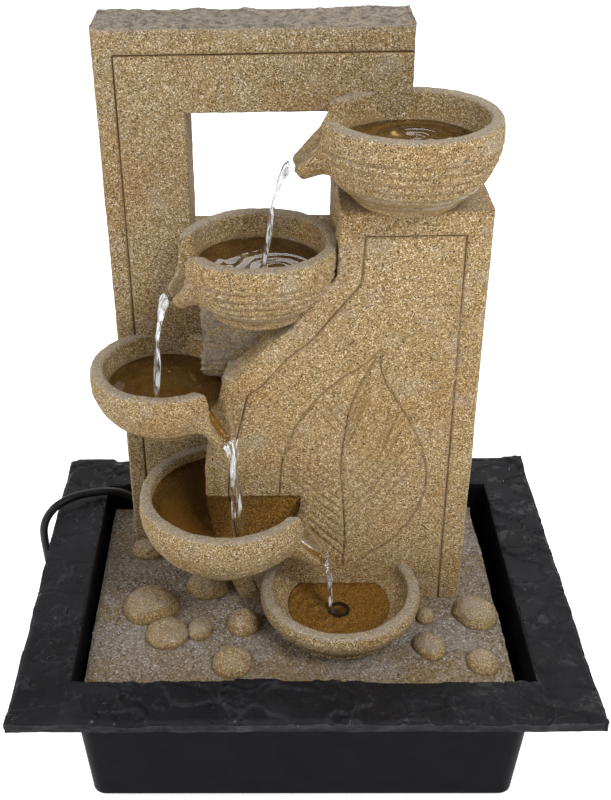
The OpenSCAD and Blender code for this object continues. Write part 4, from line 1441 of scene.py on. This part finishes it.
@dataclass
class FrontPanel:
    """The panel that the bowls stand against, with its border and its leaf."""

    tower: Tower
    step: float = 0.85 * MM
    border: float = 12.6 * MM
    edge_r: float = 2.0 * MM
    flue_left: float = 25 * MM

    def leaf(self) -> tuple[list[Array], list[Array]]:
        """The leaf's outline and midrib, and its fine veins, as lines on the face."""
        tip = (40.7, 251)
        right = [
            tip, (40, 243), (44, 229.6), (53, 214.5), (61, 199), (66, 184.5), (68.2, 171), (66.7, 156),
            (59.8, 138.8), (49.2, 124.4), (38, 116),
        ]
        left = [
            tip, (32, 241.7), (21, 234), (9.5, 223), (2.7, 213.6), (-4.3, 201), (-9, 186.6),
            (-11.2, 174.7), (-11.5, 160),
        ]
        rib = [(24.3, 108), (24.9, 134), (23, 158), (21.7, 180), (23, 198), (26, 217.5), (33, 236), tip]
        fine = [
            [(24.2 - 0.2 * k, 116 + 6.5 * k), (10 - 0.4 * k, 131 + 6.2 * k), (-9 + 0.5 * k, 151 + 5.2 * k)]
            for k in range(9)
        ]
        for k in range(7):
            end = (57 + 0.6 * k - 0.4 * k * k, 163 + 9.5 * k)
            fine.append([(24.6 - 0.25 * k, 122 + 8 * k), (38 + 0.6 * k, 138 + 9 * k), end])
        for k in range(3):
            fine.append([(22.3 + k, 196 + 7 * k), (15 + 1.2 * k, 206 + 6 * k), (8 + 4 * k, 215 + 6 * k)])
            fine.append([(22.3 + k, 186 + 9 * k), (29 + 0.5 * k, 203 + 8 * k), (34 + k, 222 + 6 * k)])
        bold = [curve_through(np.array(line) * MM, 5) for line in (left, right, rib)]
        return bold, [curve_through(np.array(line) * MM, 3) for line in fine]

    def _from_edge(self, x: Array, z: Array) -> Array:
        """Distance from each place to the panel's edge."""
        return -outline_distance(x, z, [*self.tower.left_line, *self._sunk_foot()])

    def relief(self, x: Array, z: Array) -> tuple[Array, Array]:
        """Depth of the carving, and how stained it is."""
        edging = groove(np.abs(self._from_edge(x, z) - self.border), 0.75 * MM, 1.0)
        bold, fine = self.leaf()
        near = np.minimum.reduce([line_distance(x, z, line) for line in bold])
        thin = np.minimum.reduce([line_distance(x, z, line) for line in fine])
        flow = Noise(52).fbm(x, z, 0.0, 14 * MM, 3)
        veins = groove(near, 0.75 * MM, 1.0) * 0.8
        hair = groove(thin, 0.6 * MM, 1.0) * np.clip(0.75 + 0.8 * flow, 0.1, 1)
        depth = 1.2 * MM * edging + 1.6 * MM * veins + 1.1 * MM * hair
        return depth, np.clip(edging * 1.35 + veins * 1.5 + hair * 0.95, 0, 1.6)

    def _sunk_foot(self) -> list[Pair]:
        """The outline's right side, carried far below the deck so that no groove crosses the foot."""
        (top_x, top_z), (foot_x, foot_z) = self.tower.right_line
        left_foot = self.tower.left_line[-1]
        deep = foot_z - 80 * MM
        return [(left_foot[0] + 28 * MM, deep), (foot_x, deep), (foot_x, foot_z), (top_x, top_z)]

    def build(self) -> None:
        """Makes the panel, hollows it and dresses it."""
        tower = self.tower
        low, high = tower.panel_low, tower.panel_high
        zs = grid_lines(low[2], high[2], self.step, (high[2] - self.border,))
        left, right = (
            np.interp(zs, [p[1] for p in line][::-1], [p[0] for p in line][::-1])
            for line in (tower.left_line, tower.right_line)
        )
        widest = float((right - left).max())
        across = grid_lines(0.0, widest, self.step, (widest - self.border, self.border)) / widest
        x = left[:, None] + across[None, :] * (right - left)[:, None]
        z = np.repeat(zs[:, None], len(across), 1)
        depth, _ = self.relief(x, z)
        rounding = rounded(self._from_edge(x, z), self.edge_r)
        keep = np.ones((len(zs) - 1, len(across) - 1), bool)
        points, faces = slab(x, z, keep, -low[1] - depth - rounding, -high[1], 30)
        panel = add_piece("front_panel_stone", stood_up(points), faces, SANDSTONE.make())
        close_flat(panel, Vector((0, 1, 0)))
        roughen(panel, 53, 3.0 * MM, 0.26 * MM)
        roughen(panel, 54, 36 * MM, 0.5 * MM, 2)
        places, normals = points_of(panel)
        flank = ease(-normals[:, 0] + np.clip(normals[:, 2], 0, 1) * 0.6, 0.3, 0.8) * (places[:, 2] < 0.32)
        flank *= 1 - ease(np.abs(normals[:, 1]), 0.2, 0.5)
        chop = Noise(55).fbm(*(places * (1, 1.4, 1)).T, 15 * MM, 4)
        move_points(panel, places + normals * (flank * chop * 2.2 * MM)[:, None])
        shell, bay_x = tower.shell, tower.bay_x
        bore = (upright_axis("riser_tube"), 2, tower.riser_bore, high[2] - 2 * shell, high[2] + shell)
        cut(
            panel,
            (
                (self.flue_left, low[1] + shell, low[2] - shell),
                (tower.flue_right, high[1] - shell, high[2] - shell),
            ),
            ((bay_x[0], low[1] + shell, low[2] - shell), (bay_x[1], high[1] + shell, tower.bay_top)),
            tubes=[bore],
        )
        places, normals = points_of(panel)
        _, stain = self.relief(places[:, 0], places[:, 2])
        facing = normals[:, 1] < -0.3
        cloud = Noise(56).fbm(*places.T, 34 * MM, 3)
        # Painted shade: the panel darkens along its foot on the deck, and on its left-facing faces below
        # about 240 mm, behind the lower bowls.
        foot = 1 - ease(places[:, 2], tower.deck_z, tower.deck_z + 9 * MM)
        side = ease(-normals[:, 0], 0.4, 0.9) * (1 - ease(places[:, 2], 150 * MM, 240 * MM))
        paint(
            panel,
            wash=np.where(facing, stain, 0) + np.clip(cloud, 0, 1) * 0.45 + foot * 0.5 + side * 0.4,
            # Painted light: faces that look to the right, and faces that look up, are paled.
            pale=np.clip(ease(normals[:, 0], 0.3, 0.8) * 0.6 + ease(normals[:, 2], 0.5, 0.9) * 0.3, 0, 1),
            wet=np.zeros(1),
        )
        crease(panel)
        put_on(panel, Slot.SANDSTONE, "front_panel")


@dataclass
class RockShelf:
    """The chiselled rock between the panel's slope and the second bowl."""

    tower: Tower
    step: float = 1.2 * MM

    def build(self) -> None:
        """Makes the rock from a rough block."""
        low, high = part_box("rock_shelf")
        low = (low[0] - 1 * MM, low[1] - 1 * MM, low[2])
        pad = 5 * MM
        x, y, z = axes([v - pad for v in low], [v + pad for v in high], self.step)
        block = box_distance(x, y, z, [v + 2 * MM for v in low], [v - 2 * MM for v in high]) - 2 * MM
        chisel = Noise(61).fbm(x, y, z * 3.2, 11 * MM, 4)
        lumps = Noise(62).fbm(x, y, z * 1.4, 22 * MM, 3)
        field = block - 3.4 * MM * np.abs(chisel) * 1.2 - 3.2 * MM * lumps + 2.2 * MM
        inside = self.tower.distance(*np.broadcast_arrays(x, y, z), True)
        field = np.maximum(field, -(inside + 1.2 * MM))
        field = np.maximum(field, x - (high[0] + pad * 0.6))
        points, faces = net(field, (x.min(), y.min(), z.min()), self.step)
        rock = add_piece("rock_shelf_stone", points, faces, SANDSTONE.make())
        places, _ = points_of(rock)
        ridge = np.abs(Noise(61).fbm(places[:, 0], places[:, 1], places[:, 2] * 3.2, 11 * MM, 4))
        # Painted shade darkens the right part, under the second bowl; painted highlights pale the chisel
        # ridges, most on the left; the chisel creases are darker.
        left = 1 - ease(places[:, 0], -26 * MM, -8 * MM)
        paint(
            rock,
            wash=np.clip(1.0 - ridge * 12, 0, 1) * 0.6 + (1 - left) * 0.25,
            pale=np.clip(ease(ridge, 0.05, 0.16) * (0.35 + 0.9 * left), 0, 1.2),
            wet=0.25 * left,
        )
        crease(rock, 60)
        put_on(rock, Slot.SANDSTONE, "rock_shelf")


@dataclass
class Bowl:
    """A spouted bowl. The spout runs from start to tip, measured from the middle
    of the bowl's foot, and has a radius at each end."""

    name: str
    tower: Tower
    centre: Pair
    radius: float
    height: float
    foot: float
    start: Triple | None = None
    tip: Triple | None = None
    spout_r: Pair = (26 * MM, 9 * MM)
    water: float = 0.0
    lands: Pair | None = None
    rings: float = 0.25 * MM
    windowed: bool = False
    lip: float = 6.5 * MM
    floor: float = 8 * MM
    step: float = 0.95 * MM
    seed: int = 70

    def _line(self, points: Sequence[Pair]) -> list[Pair]:
        """A profile and its mirror image as one closed outline."""
        smooth = [tuple(p) for p in curve_through(points, 6)]
        return smooth + [(-a, b) for a, b in smooth[::-1]]

    def _turned(self, line: list[Pair], rho: Array, z: Array) -> Array:
        """Signed distance to the solid that a profile makes when it is turned."""
        fine = self.step / 2
        radii = np.arange(0, float(rho.max()) + 3 * fine, fine)
        table = outline_distance(radii[:, None], z[0, 0, :][None, :], line)
        place = rho[:, :, 0] / fine
        whole = place.astype(int)
        part = (place - whole)[:, :, None]
        return table[whole] * (1 - part) + table[whole + 1] * part

    def _cone(
        self, x: Array, y: Array, z: Array, trim: float, longer: float, open_top: bool = False
    ) -> tuple[Array, Array, Array]:
        """Distance to the spout's cone, height above its axis and place along it."""
        a, b = np.array(self.start), np.array(self.tip)
        length = float(np.linalg.norm(b - a))
        axis = (b - a) / length
        up = np.array((0, 0, 1.0)) - axis[2] * axis
        up /= np.linalg.norm(up)
        px, py, pz = x - a[0], y - a[1], z - a[2]
        along = px * axis[0] + py * axis[1] + pz * axis[2]
        above = px * up[0] + py * up[1] + pz * up[2]
        far = np.sqrt(np.maximum(px**2 + py**2 + pz**2 - along**2, 0))
        if open_top:
            lateral = np.abs(px * axis[1] - py * axis[0]) / math.hypot(axis[0], axis[1])
            far = np.where(above > 0, lateral, far)
        share = np.clip(along / length, -0.2, 1.2)
        r0, r1 = self.spout_r[0] - trim, self.spout_r[1] - trim
        sides = (far - (r0 + (r1 - r0) * share)) * length / math.hypot(length, r0 - r1)
        ends = np.maximum(-along - longer, along - length - longer)
        return smooth_max(sides, ends, 1.5 * MM), above, share

    def fields(self, x: Array, y: Array, z: Array, grow: float = 0.0) -> tuple[Array, Array, Array | None]:
        """Distances to the body, the hollow and the spout's channel."""
        r, h, rho = self.radius, self.height, np.hypot(x, y)
        body_line = self._line([
            (0, 0), (self.foot, 0), (r * 0.68, h * 0.14), (r * 0.87, h * 0.33), (r * 0.99, h * 0.58),
            (r * 1.02, h * 0.78), (r, h), (r, h + 8 * MM),
        ])
        i, low = r - self.lip, self.floor
        hollow_line = self._line([
            (0, low), (i * 0.42, low), (i * 0.72, low + (h - low) * 0.16), (i * 0.92, low + (h - low) * 0.45),
            (i, h * 0.82), (i * 1.005, h), (i * 1.01, h + 12 * MM),
        ])
        body = self._turned(body_line, rho, z)
        hollow = self._turned(hollow_line, rho, z) - grow
        channel = None
        if self.start is not None:
            channel, _, _ = self._cone(x, y, z, self.lip * 0.75 - grow, 6 * MM, open_top=True)
        return body, hollow, channel

    def _thrown(self, x: Array, y: Array, z: Array) -> Array:
        """Depth of the thrown rings below the bowl's smooth upper band."""
        h, angle = self.height, np.arctan2(y, x)
        wave = Noise(self.seed).fbm(np.cos(angle) * 3, np.sin(angle) * 3, z / (9 * MM), 1.0, 2)
        fade = ease(z, 0.06 * h, 0.14 * h) * (1 - ease(z, 0.74 * h, 0.84 * h))
        turned = np.abs(np.sin(z / (4.4 * MM) * math.pi + 0.8 * wave))
        return self.rings * 4.2 * fade * np.clip(1 - turned / 0.75, 0, 1)

    def _box(self) -> tuple[list[float], list[float]]:
        """Corners of the space that the bowl takes, about the middle of its foot."""
        pad = 4 * MM
        low = [-self.radius * 1.02 - pad, -self.radius * 1.02 - pad, -pad]
        high = [self.radius * 1.02 + pad, self.radius * 1.02 + pad, self.height + pad]
        if self.tip is not None:
            for k in (0, 1):
                low[k] = min(low[k], self.tip[k] - self.spout_r[1] - pad)
                high[k] = max(high[k], self.tip[k] + self.spout_r[1] + pad)
        return low, high

    def _outside_tower(self, x: Array, y: Array, z: Array, foot_z: float, sunk: float) -> Array:
        """Distance that keeps a field out of the tower, but for a little."""
        full = np.broadcast_arrays(x + self.centre[0], y + self.centre[1], z + foot_z)
        return -(self.tower.distance(*full, self.windowed) + sunk)

    def build(self) -> None:
        """Makes the bowl and its water."""
        foot_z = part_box(self.name)[1][2] - self.height
        low, high = self._box()
        x, y, z = axes(low, high, self.step)
        body, hollow, channel = self.fields(x, y, z)
        h, noise = self.height, Noise(self.seed)
        body = body + self._thrown(x, y, z)
        if self.start is not None:
            outer, above, share = self._cone(x, y, z, 0.0, 0.0)
            crown = 3.2 * MM * np.sin(np.pi * np.clip(share, 0, 1))
            body = smooth_min(body, smooth_max(outer, above - crown, 2.0 * MM), 5 * MM)
        body = smooth_max(body, z - h, 1.6 * MM)
        body = smooth_max(body, -hollow, 2.0 * MM)
        if channel is not None:
            body = smooth_max(body, -channel, 2.0 * MM)
        if self.name == "bowl_5":
            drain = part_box("drain_grommet")
            bore = np.hypot(x, y) - (drain[1][0] - drain[0][0]) / 2
            body = smooth_max(body, -bore, 0.8 * MM)
        body = body + 0.34 * MM * noise.fbm(x, y, z, 4.2 * MM, 3) + 0.5 * MM * noise.fbm(x, y, z, 30 * MM, 2)
        body = np.maximum(body, -z)
        body = np.maximum(body, self._outside_tower(x, y, z, foot_z, 1.5 * MM))
        points, faces = net(body, low, self.step)
        move = np.array((*self.centre, foot_z))
        bowl = add_piece(f"{self.name}_stone", points + move, faces, BOWL_STONE.make())
        self._dress(bowl, move)
        put_on(bowl, Slot.SANDSTONE, self.name)
        if self.water:
            self._pool(move)

    def _dress(self, bowl: Obj, move: Array) -> None:
        """Stains the inside and the thrown rings, paints shade on the outside towards the foot, greys the rim
        and wets what the water reaches.
        """
        places, normals = points_of(bowl)
        x, y, z = (places - move).T
        rho = np.hypot(x, y)
        inner = 1 - ease(rho, self.radius - self.lip - 1.5 * MM, self.radius - self.lip + 0.5 * MM)
        cloud = Noise(self.seed + 5).fbm(*places.T, 18 * MM, 3)
        level = self.water if self.water else self.height * 0.6
        wet = inner * (1 - ease(z, level - 0.5 * MM, level + 3 * MM)) * ease(z, 3 * MM, 6 * MM)
        if self.start is not None:
            a, b = np.array(self.start), np.array(self.tip)
            way = b - a
            out = np.clip(((x - a[0]) * way[0] + (y - a[1]) * way[1]) / (way[:2] @ way[:2]), 0, 1)
            below = z < a[2] + way[2] * out + 5 * MM
            trough = (out > 0.25) * ease(normals[:, 2], 0.15, 0.45) * below * (rho > self.radius * 0.5)
            wet = np.maximum(wet, trough * 0.85)
        rim = ease(z, self.height - 2.4 * MM, self.height - 0.9 * MM) * ease(normals[:, 2], 0.1, 0.6)
        # Painted shade: the outside darkens towards the foot.
        under = 1 - ease(z, 0.05 * self.height, 0.42 * self.height)
        rings = np.clip(self._thrown(x, y, z) / (0.8 * MM), 0, 1.3) * (1 - inner)
        soak = 0.75 if self.start is not None else 0.20
        wet = wet * (1.0 if self.start is not None else 0.35)
        wash = inner * soak + (1 - inner) * under * 0.6 + rings * 0.9 + np.clip(cloud, 0, 1) * 0.3
        paint(bowl, wash=np.clip(wash, 0, 1.1) * (1 - rim), pale=rim * 0.95, wet=np.clip(wet, 0, 1))

    def _pool(self, move: Array) -> None:
        """The water in the bowl and the film that runs down its spout."""
        low, high = self._box()
        step = 1.1 * MM
        x, y, z = axes(low, high, step)
        _, hollow, channel = self.fields(x, y, z, grow=0.7 * MM)
        still = Noise(self.seed + 9)
        ripple = 0.28 * MM * still.fbm(x, y, 0.0, 6 * MM, 2)
        if self.lands is not None:
            away = np.hypot(x - self.lands[0], y - self.lands[1])
            ripple = ripple + 0.75 * MM * np.cos(away / (6.5 * MM) * 2 * math.pi) * np.exp(-away / (13 * MM))
        water = np.maximum(hollow, z - self.water - ripple)
        if channel is not None:
            _, above, share = self._cone(x, y, z, 0.0, 0.0)
            r0, r1 = self.spout_r
            depth = r0 + (r1 - r0) * np.clip(share, 0, 1) - self.lip * 0.75
            film = np.maximum(channel, above + depth - (1.5 + 1.2 * (1 - share)) * MM - 0.5 * ripple)
            film = np.maximum(film, (share - 1.02) * 50 * MM)
            film = np.maximum(film, z - self.water - ripple)
            water = smooth_min(water, film, 1.0 * MM)
        water = np.maximum(water, self._outside_tower(x, y, z, float(move[2]), 0.8 * MM))
        points, faces = net(water, low, step)
        pool = add_piece(f"{self.name}_water", points + move, faces, POOL.make())
        put_on(pool, Slot.WATER)


@dataclass
class Stream:
    """Water that falls from a spout's tip into the bowl below."""

    name: str
    start: Triple
    end: Triple
    width: float = 7.0 * MM
    spread: float = 0.40
    across: Triple = (0.3, 1.0, 0.0)
    count: int = 40

    def build(self) -> None:
        """Sweeps a thin sheet with thick edges along the fall, by geometry nodes."""
        t = np.linspace(0, 1, self.count)
        a, b = np.array(self.start), np.array(self.end)
        points = a + (b - a) * np.stack([t**0.8, t**0.8, t**2 * 0.75 + t * 0.25], 1)
        swell = 1.1 - 0.25 * t + self.spread * 0.7 * np.sin(t * 2 * math.pi * 1.35 + 0.4) * (1 - 0.5 * t)
        noise = Noise(len(self.name) * 7 + int(a[2] / MM))
        swell += 0.16 * noise.at(t * 9, 0 * t, 0 * t)
        points[:, 0] += 0.4 * MM * noise.at(t * 5, 0 * t + 3, 0 * t)
        seed = seed_object(self.name, points, [(i, i + 1) for i in range(self.count - 1)])
        paint(seed, swell=np.clip(swell, 0.25, 2))
        shape = NodeShape(f"{self.name}_sheet", Width=self.width, Thin=0.34)
        g = shape.graph
        swell_in = shape.named("swell")
        curve = g.add("GeometryNodeMeshToCurve", values={"Mesh": shape.source})
        curve = g.add("GeometryNodeSetCurveNormal", {"mode": "FREE"}, {"Curve": curve, "Normal": self.across})
        curve = g.add("GeometryNodeSetCurveRadius", values={"Curve": curve, "Radius": swell_in})
        wide = g.add("ShaderNodeSeparateXYZ", values={0: g.add("GeometryNodeInputPosition")})
        thin, width = wide.out("Y"), shape.size("Width")
        waist = 0.30 + (wide * wide) * 0.75
        flat = g.add("ShaderNodeCombineXYZ", values={
            0: wide * width * 0.5, 1: thin * waist * width * shape.size("Thin"), 2: 0.0,
        })
        ring = g.add("GeometryNodeSetPosition", values={"Geometry": shape.circle(18, 1.0), "Position": flat})
        sheet = g.add("GeometryNodeCurveToMesh", values={
            "Curve": curve, "Profile Curve": ring, "Fill Caps": True, "Scale": swell_in,
        })
        piece = shape.finish(sheet, seed, STREAM.make())
        put_on(piece, Slot.WATER)


@dataclass
class Fall:
    """The five bowls and the water that runs from each to the next."""

    tower: Tower

    def build(self) -> None:
        """Makes the bowls and the streams."""
        tower = self.tower
        column = tower.panel_high[0] - tower.column_w
        face, wall_face = tower.panel_low[1], tower.wall_low[1]
        bowls = [
            Bowl(
                "bowl_1", tower, (column + 32 * MM, face + 13 * MM),
                radius=42 * MM, height=43 * MM, foot=20 * MM, start=mm(-14, 6, 45), tip=mm(-55, 4, 18),
                water=29 * MM, lands=mm(4, 8), rings=0.30 * MM, seed=71,
            ),
            Bowl(
                "bowl_2", tower, (column - 39.5 * MM, wall_face - 31 * MM),
                radius=39.5 * MM, height=39 * MM, foot=22 * MM, start=mm(-12, -2, 41),
                tip=mm(-45, -10, 13), spout_r=mm(24, 9),
                water=26 * MM, lands=mm(9, -8), rings=0.34 * MM, windowed=True, seed=72,
            ),
            Bowl(
                "bowl_3", tower, (tower.wall_low[0] + 29 * MM, wall_face - 31.5 * MM),
                radius=39 * MM, height=36 * MM, foot=18 * MM, start=mm(12, -12, 37.5),
                tip=mm(34, -28, 6), spout_r=mm(17, 8),
                water=24 * MM, lands=mm(3, -10), rings=0.14 * MM, seed=73,
            ),
            Bowl(
                "bowl_4", tower, (-41 * MM, wall_face - 48 * MM),
                radius=47 * MM, height=43 * MM, foot=24 * MM, start=mm(14, -6, 44),
                tip=mm(54, -12, 5), spout_r=mm(24, 8),
                water=37 * MM, lands=mm(3, -8), rings=0.10 * MM, seed=74,
            ),
            Bowl(
                "bowl_5", tower, (22 * MM, face - 18 * MM), radius=44 * MM, height=26 * MM,
                foot=31.7 * MM, water=12 * MM, lands=mm(-8, -6), rings=0.08 * MM, seed=75,
            ),
        ]
        for bowl in bowls:
            bowl.build()
        drifts = ((-13.0, 1.0), (-9.0, -2.0), (2.5, -3.0), (4.0, -3.0))
        for above, below, drift in zip(bowls[:-1], bowls[1:], drifts):
            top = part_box(above.name)[1][2] - above.height
            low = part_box(below.name)[1][2] - below.height
            a, tip = np.array(above.start), np.array(above.tip)
            lead = (tip - a)[:2] / np.linalg.norm((tip - a)[:2])
            x, y = (above.centre[k] + tip[k] + lead[k] * 0.5 * MM for k in (0, 1))
            start = (x, y, top + tip[2] - 1.0 * MM)
            end = (x + drift[0] * MM, y + drift[1] * MM, low + below.water - 1.5 * MM)
            Stream(f"stream_{above.name[-1]}", start, end, across=(-lead[1], lead[0], 0.0)).build()


@dataclass
class Ground:
    """The sand deck, its grit and its stones. The cord passes through the deck's notch."""

    tower: Tower
    step: float = 1.1 * MM
    notch_x: Pair = (-104 * MM, -78 * MM)
    notch_d: float = 12 * MM

    def build(self) -> None:
        """Makes the deck and what lies on it."""
        self._deck()
        self._stones()

    def _height(self, x: Array, y: Array) -> Array:
        """How far the deck's surface lies above its mean."""
        return (0.9 * Noise(81).fbm(x, y, 0.0, 26 * MM, 3) + 0.55 * Noise(82).fbm(x, y, 0.0, 6 * MM, 3)) * MM

    def _deck(self) -> None:
        """A slab with a wavy right edge and openings for the tower's service space."""
        low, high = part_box("deck")
        xs, ys = grid_lines(low[0], high[0], self.step), grid_lines(low[1], high[1], self.step)
        x, y = np.meshgrid(xs, ys)
        share = (x - low[0]) / (high[0] - low[0])
        edge_shift = Noise(83).fbm(y, 0 * y, 0.4, 34 * MM, 3) * 3.4 * MM + 0.4 * MM
        x = x + np.minimum(edge_shift, 0.8 * MM) * share**6
        front_shift = Noise(84).fbm(x, 0 * x, 0.4, 30 * MM, 3) * 1.6 * MM
        y = y + front_shift * (1 - (y - low[1]) / (high[1] - low[1])) ** 6
        outer = np.minimum(np.minimum(x - low[0], high[0] - x), np.minimum(y - low[1], high[1] - y))
        fall = (1 - ease(outer, 0, 2.4 * MM)) * 1.3 * MM
        keep = np.ones((len(ys) - 1, len(xs) - 1), bool)
        points, faces = slab(x, y, keep, high[2] - 0.5 * MM + self._height(x, y) - fall, low[2], 4)
        deck = add_piece("sand_deck_stone", points, faces, DECK_SAND.make())
        close_flat(deck, Vector((0, 0, -1)))
        roughen(deck, 85, 2.6 * MM, 0.45 * MM, 2)
        tower, face = self.tower, self.tower.face
        back, wall_face = tower.wall_high[1], tower.wall_low[1]
        (bay_left, bay_right), shell = tower.bay_x, tower.shell
        below, above = low[2] - 2 * MM, high[2] + 2 * MM
        drain_low, drain_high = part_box("drain_grommet")
        drain = (upright_axis("drain_grommet"), 2, (drain_high[0] - drain_low[0]) / 2, below, above)
        cut(
            deck,
            ((bay_left, face + shell, below), (bay_right, back - shell, above)),
            ((bay_right - MM, face + shell, below), (tower.flue_right, wall_face - shell, above)),
            ((self.notch_x[0], back + MM, below), (self.notch_x[1], back + self.notch_d, above)),
            tubes=[drain],
        )
        places, normals = points_of(deck)
        cloud, front = self._blotches(places)
        near = self._near_tower(places[:, 0], places[:, 1])
        shade = np.clip(1 - near / (16 * MM), 0, 1)
        pale = np.clip(0.45 - front * 0.45 - cloud * 0.9 - shade * 0.3, 0, 0.8)
        paint(
            deck,
            wash=np.clip(0.20 + shade * 0.6 + front * 0.65 + cloud * 0.8, 0, 1.1),
            pale=pale * ease(normals[:, 2], 0.3, 0.8),
            wet=np.clip(front * 0.45 + cloud * 0.5 - 0.1, 0, 0.5),
        )
        put_on(deck, Slot.DECK, "deck")
        self._grit(deck)

    def _blotches(self, places: Array) -> tuple[Array, Array]:
        """The sand's cloudy stains, and how near each place is to the deck's front."""
        cloud = Noise(86).fbm(*places.T, 22 * MM, 3)
        return cloud, 1 - ease(places[:, 1], -82 * MM, -35 * MM)

    def _near_tower(self, x: Array, y: Array) -> Array:
        """Distance on the deck from the wall's and the panel's feet."""
        tower, gaps = self.tower, []
        feet = (
            (tower.wall_low[0], tower.wall_high[0], tower.wall_low[1]),
            (tower.left_line[-1][0], tower.panel_high[0], tower.panel_low[1]),
        )
        for left, right, front in feet:
            beside = np.maximum(np.maximum(left - x, x - right), 0)
            gaps.append(np.hypot(beside, np.maximum(front - y, 0)))
        return np.minimum(*gaps)

    def _grit(self, deck: Obj) -> None:
        """Coarse grains that stand proud of the deck, strewn by geometry nodes."""
        shape = NodeShape("deck_grit", Density=150000.0, Seed=5, Radius=0.62 * MM)
        g = shape.graph
        scatter = g.add("GeometryNodeDistributePointsOnFaces", {"distribute_method": "RANDOM"}, {
            "Mesh": shape.source, "Selection": shape.facing_up(0.8), "Density": shape.size("Density"),
            "Seed": shape.size("Seed"),
        })
        grain = shape.ball(shape.size("Radius"), 1)
        turned = {0: (0, 0, 0), 1: (6.28, 6.28, 6.28), "Seed": 4}
        spin = g.add("FunctionNodeRandomValue", {"data_type": "FLOAT_VECTOR"}, turned)
        grains = shape.copies(scatter, grain, shape.chance(0.45, 1.25, 2), spin)
        grit = shape.finish(grains, copy_of(deck, "deck_grit"), DECK_SAND.make())
        places, _ = points_of(grit)
        for name in ("wash", "pale", "wet"):
            if name in grit.data.attributes:
                grit.data.attributes.remove(grit.data.attributes[name])
        cloud, front = self._blotches(places)
        paint(grit, wash=0.2 + front * 0.7, pale=np.clip(0.3 - cloud - front * 0.4, 0, 1), wet=np.zeros(1))
        put_on(grit, Slot.DECK)

    def _stones(self) -> None:
        """Rounded stones, half sunk in the deck, set out by geometry nodes."""
        stones = [
            (-91, 37, 12, 9), (-87, -17, 16, 12), (-76, -39, 12, 7), (-57, -36, 8, 6), (-54, 2, 13, 10),
            (-32, -31, 9, 9), (-38, -62, 11, 8), (100, -24, 13, 9), (99, -62, 9, 7), (71, -26, 6, 5),
            (71, -50, 10, 7),
        ]
        deck_z = self.tower.deck_z
        seed = seed_object("deck_stones", np.array([(a * MM, b * MM, deck_z) for a, b, _, _ in stones]))
        for name, k in (("wide", 2), ("tall", 3)):
            paint(seed, **{name: np.array([s[k] * MM for s in stones])})
        shape = NodeShape("deck_stones", Lumps=0.16, Size=70.0)
        g = shape.graph
        ball = shape.ball(1.0, 5)
        wide = shape.named("wide")
        tall = shape.named("tall")
        spin = g.add("ShaderNodeCombineXYZ", values={2: shape.chance(0.0, 6.28, 9)})
        across = shape.chance(0.82, 1.0, 8)
        size = g.add("ShaderNodeCombineXYZ", values={0: wide * 1.04, 1: wide * across, 2: tall})
        balls = shape.copies(shape.source, ball, size, spin)
        real = g.add("GeometryNodeRealizeInstances", values={"Geometry": balls})
        at = g.add("GeometryNodeInputPosition")
        lump = g.add("ShaderNodeTexNoise", values={"Vector": at, "Scale": shape.size("Size"), "Detail": 2.0})
        push = g.add("ShaderNodeVectorMath", {"operation": "SCALE"}, {
            0: g.add("GeometryNodeInputNormal"), "Scale": (lump - 0.5) * shape.size("Lumps") * 0.03,
        })
        moved = g.add("GeometryNodeSetPosition", values={"Geometry": real, "Offset": push})
        piece = shape.finish(moved, seed, BOWL_STONE.make())
        roughen(piece, 91, 2.8 * MM, 0.3 * MM)
        places, normals = points_of(piece)
        # Painted shade darkens the stones where they meet the deck; painted light pales their upward faces.
        foot = 1 - ease(places[:, 2], deck_z - MM, deck_z + 3.5 * MM)
        cloud = Noise(92).fbm(*places.T, 12 * MM, 3)
        paint(
            piece,
            wash=np.clip(foot * 0.9 + np.clip(cloud, 0, 1) * 0.7 + 0.4, 0, 1.1),
            pale=np.clip(ease(normals[:, 2], 0.4, 0.95) * (0.55 + cloud), 0, 1),
            wet=np.clip(cloud * 0.6, 0, 0.4),
        )
        put_on(piece, Slot.SANDSTONE, "pebbles")


class PumpSet:
    """Finishes for the pump and the other moulded parts, whose CAD shapes stay."""

    DRESS = {
        "rubber_feet": RUBBER, "deck_supports": DECK_SAND, "drain_grommet": RUBBER, "bowl_inlet": TUBE,
        "riser_tube": TUBE, "pump_housing": PUMP_BLACK, "pump_rear_cap": PUMP_BLACK, "pump_stator": STEEL,
        "pump_coil": COPPER, "impeller_shaft": CERAMIC, "impeller": BLUE, "pump_cover": PUMP_BLACK,
        "flow_dial": DIAL, "suction_cups": RUBBER, "cord_tie": CORD_BLACK, "plug_blades": BRASS,
    }

    def build(self) -> None:
        """Gives each of these nodes its finish."""
        for node, finish in self.DRESS.items():
            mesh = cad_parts[node].data
            mesh.materials.clear()
            mesh.materials.append(finish.make())


def main() -> None:
    """Builds every piece in order."""
    logging.basicConfig(level=logging.INFO, format="%(message)s")
    Studio().build()
    Cord().build()
    Basin().build()
    tower = Tower()
    Ground(tower).build()
    BackWall(tower).build()
    RearDoor().build()
    FrontPanel(tower).build()
    RockShelf(tower).build()
    Fall(tower).build()
    PumpSet().build()


if __name__ == "__main__":
    main()
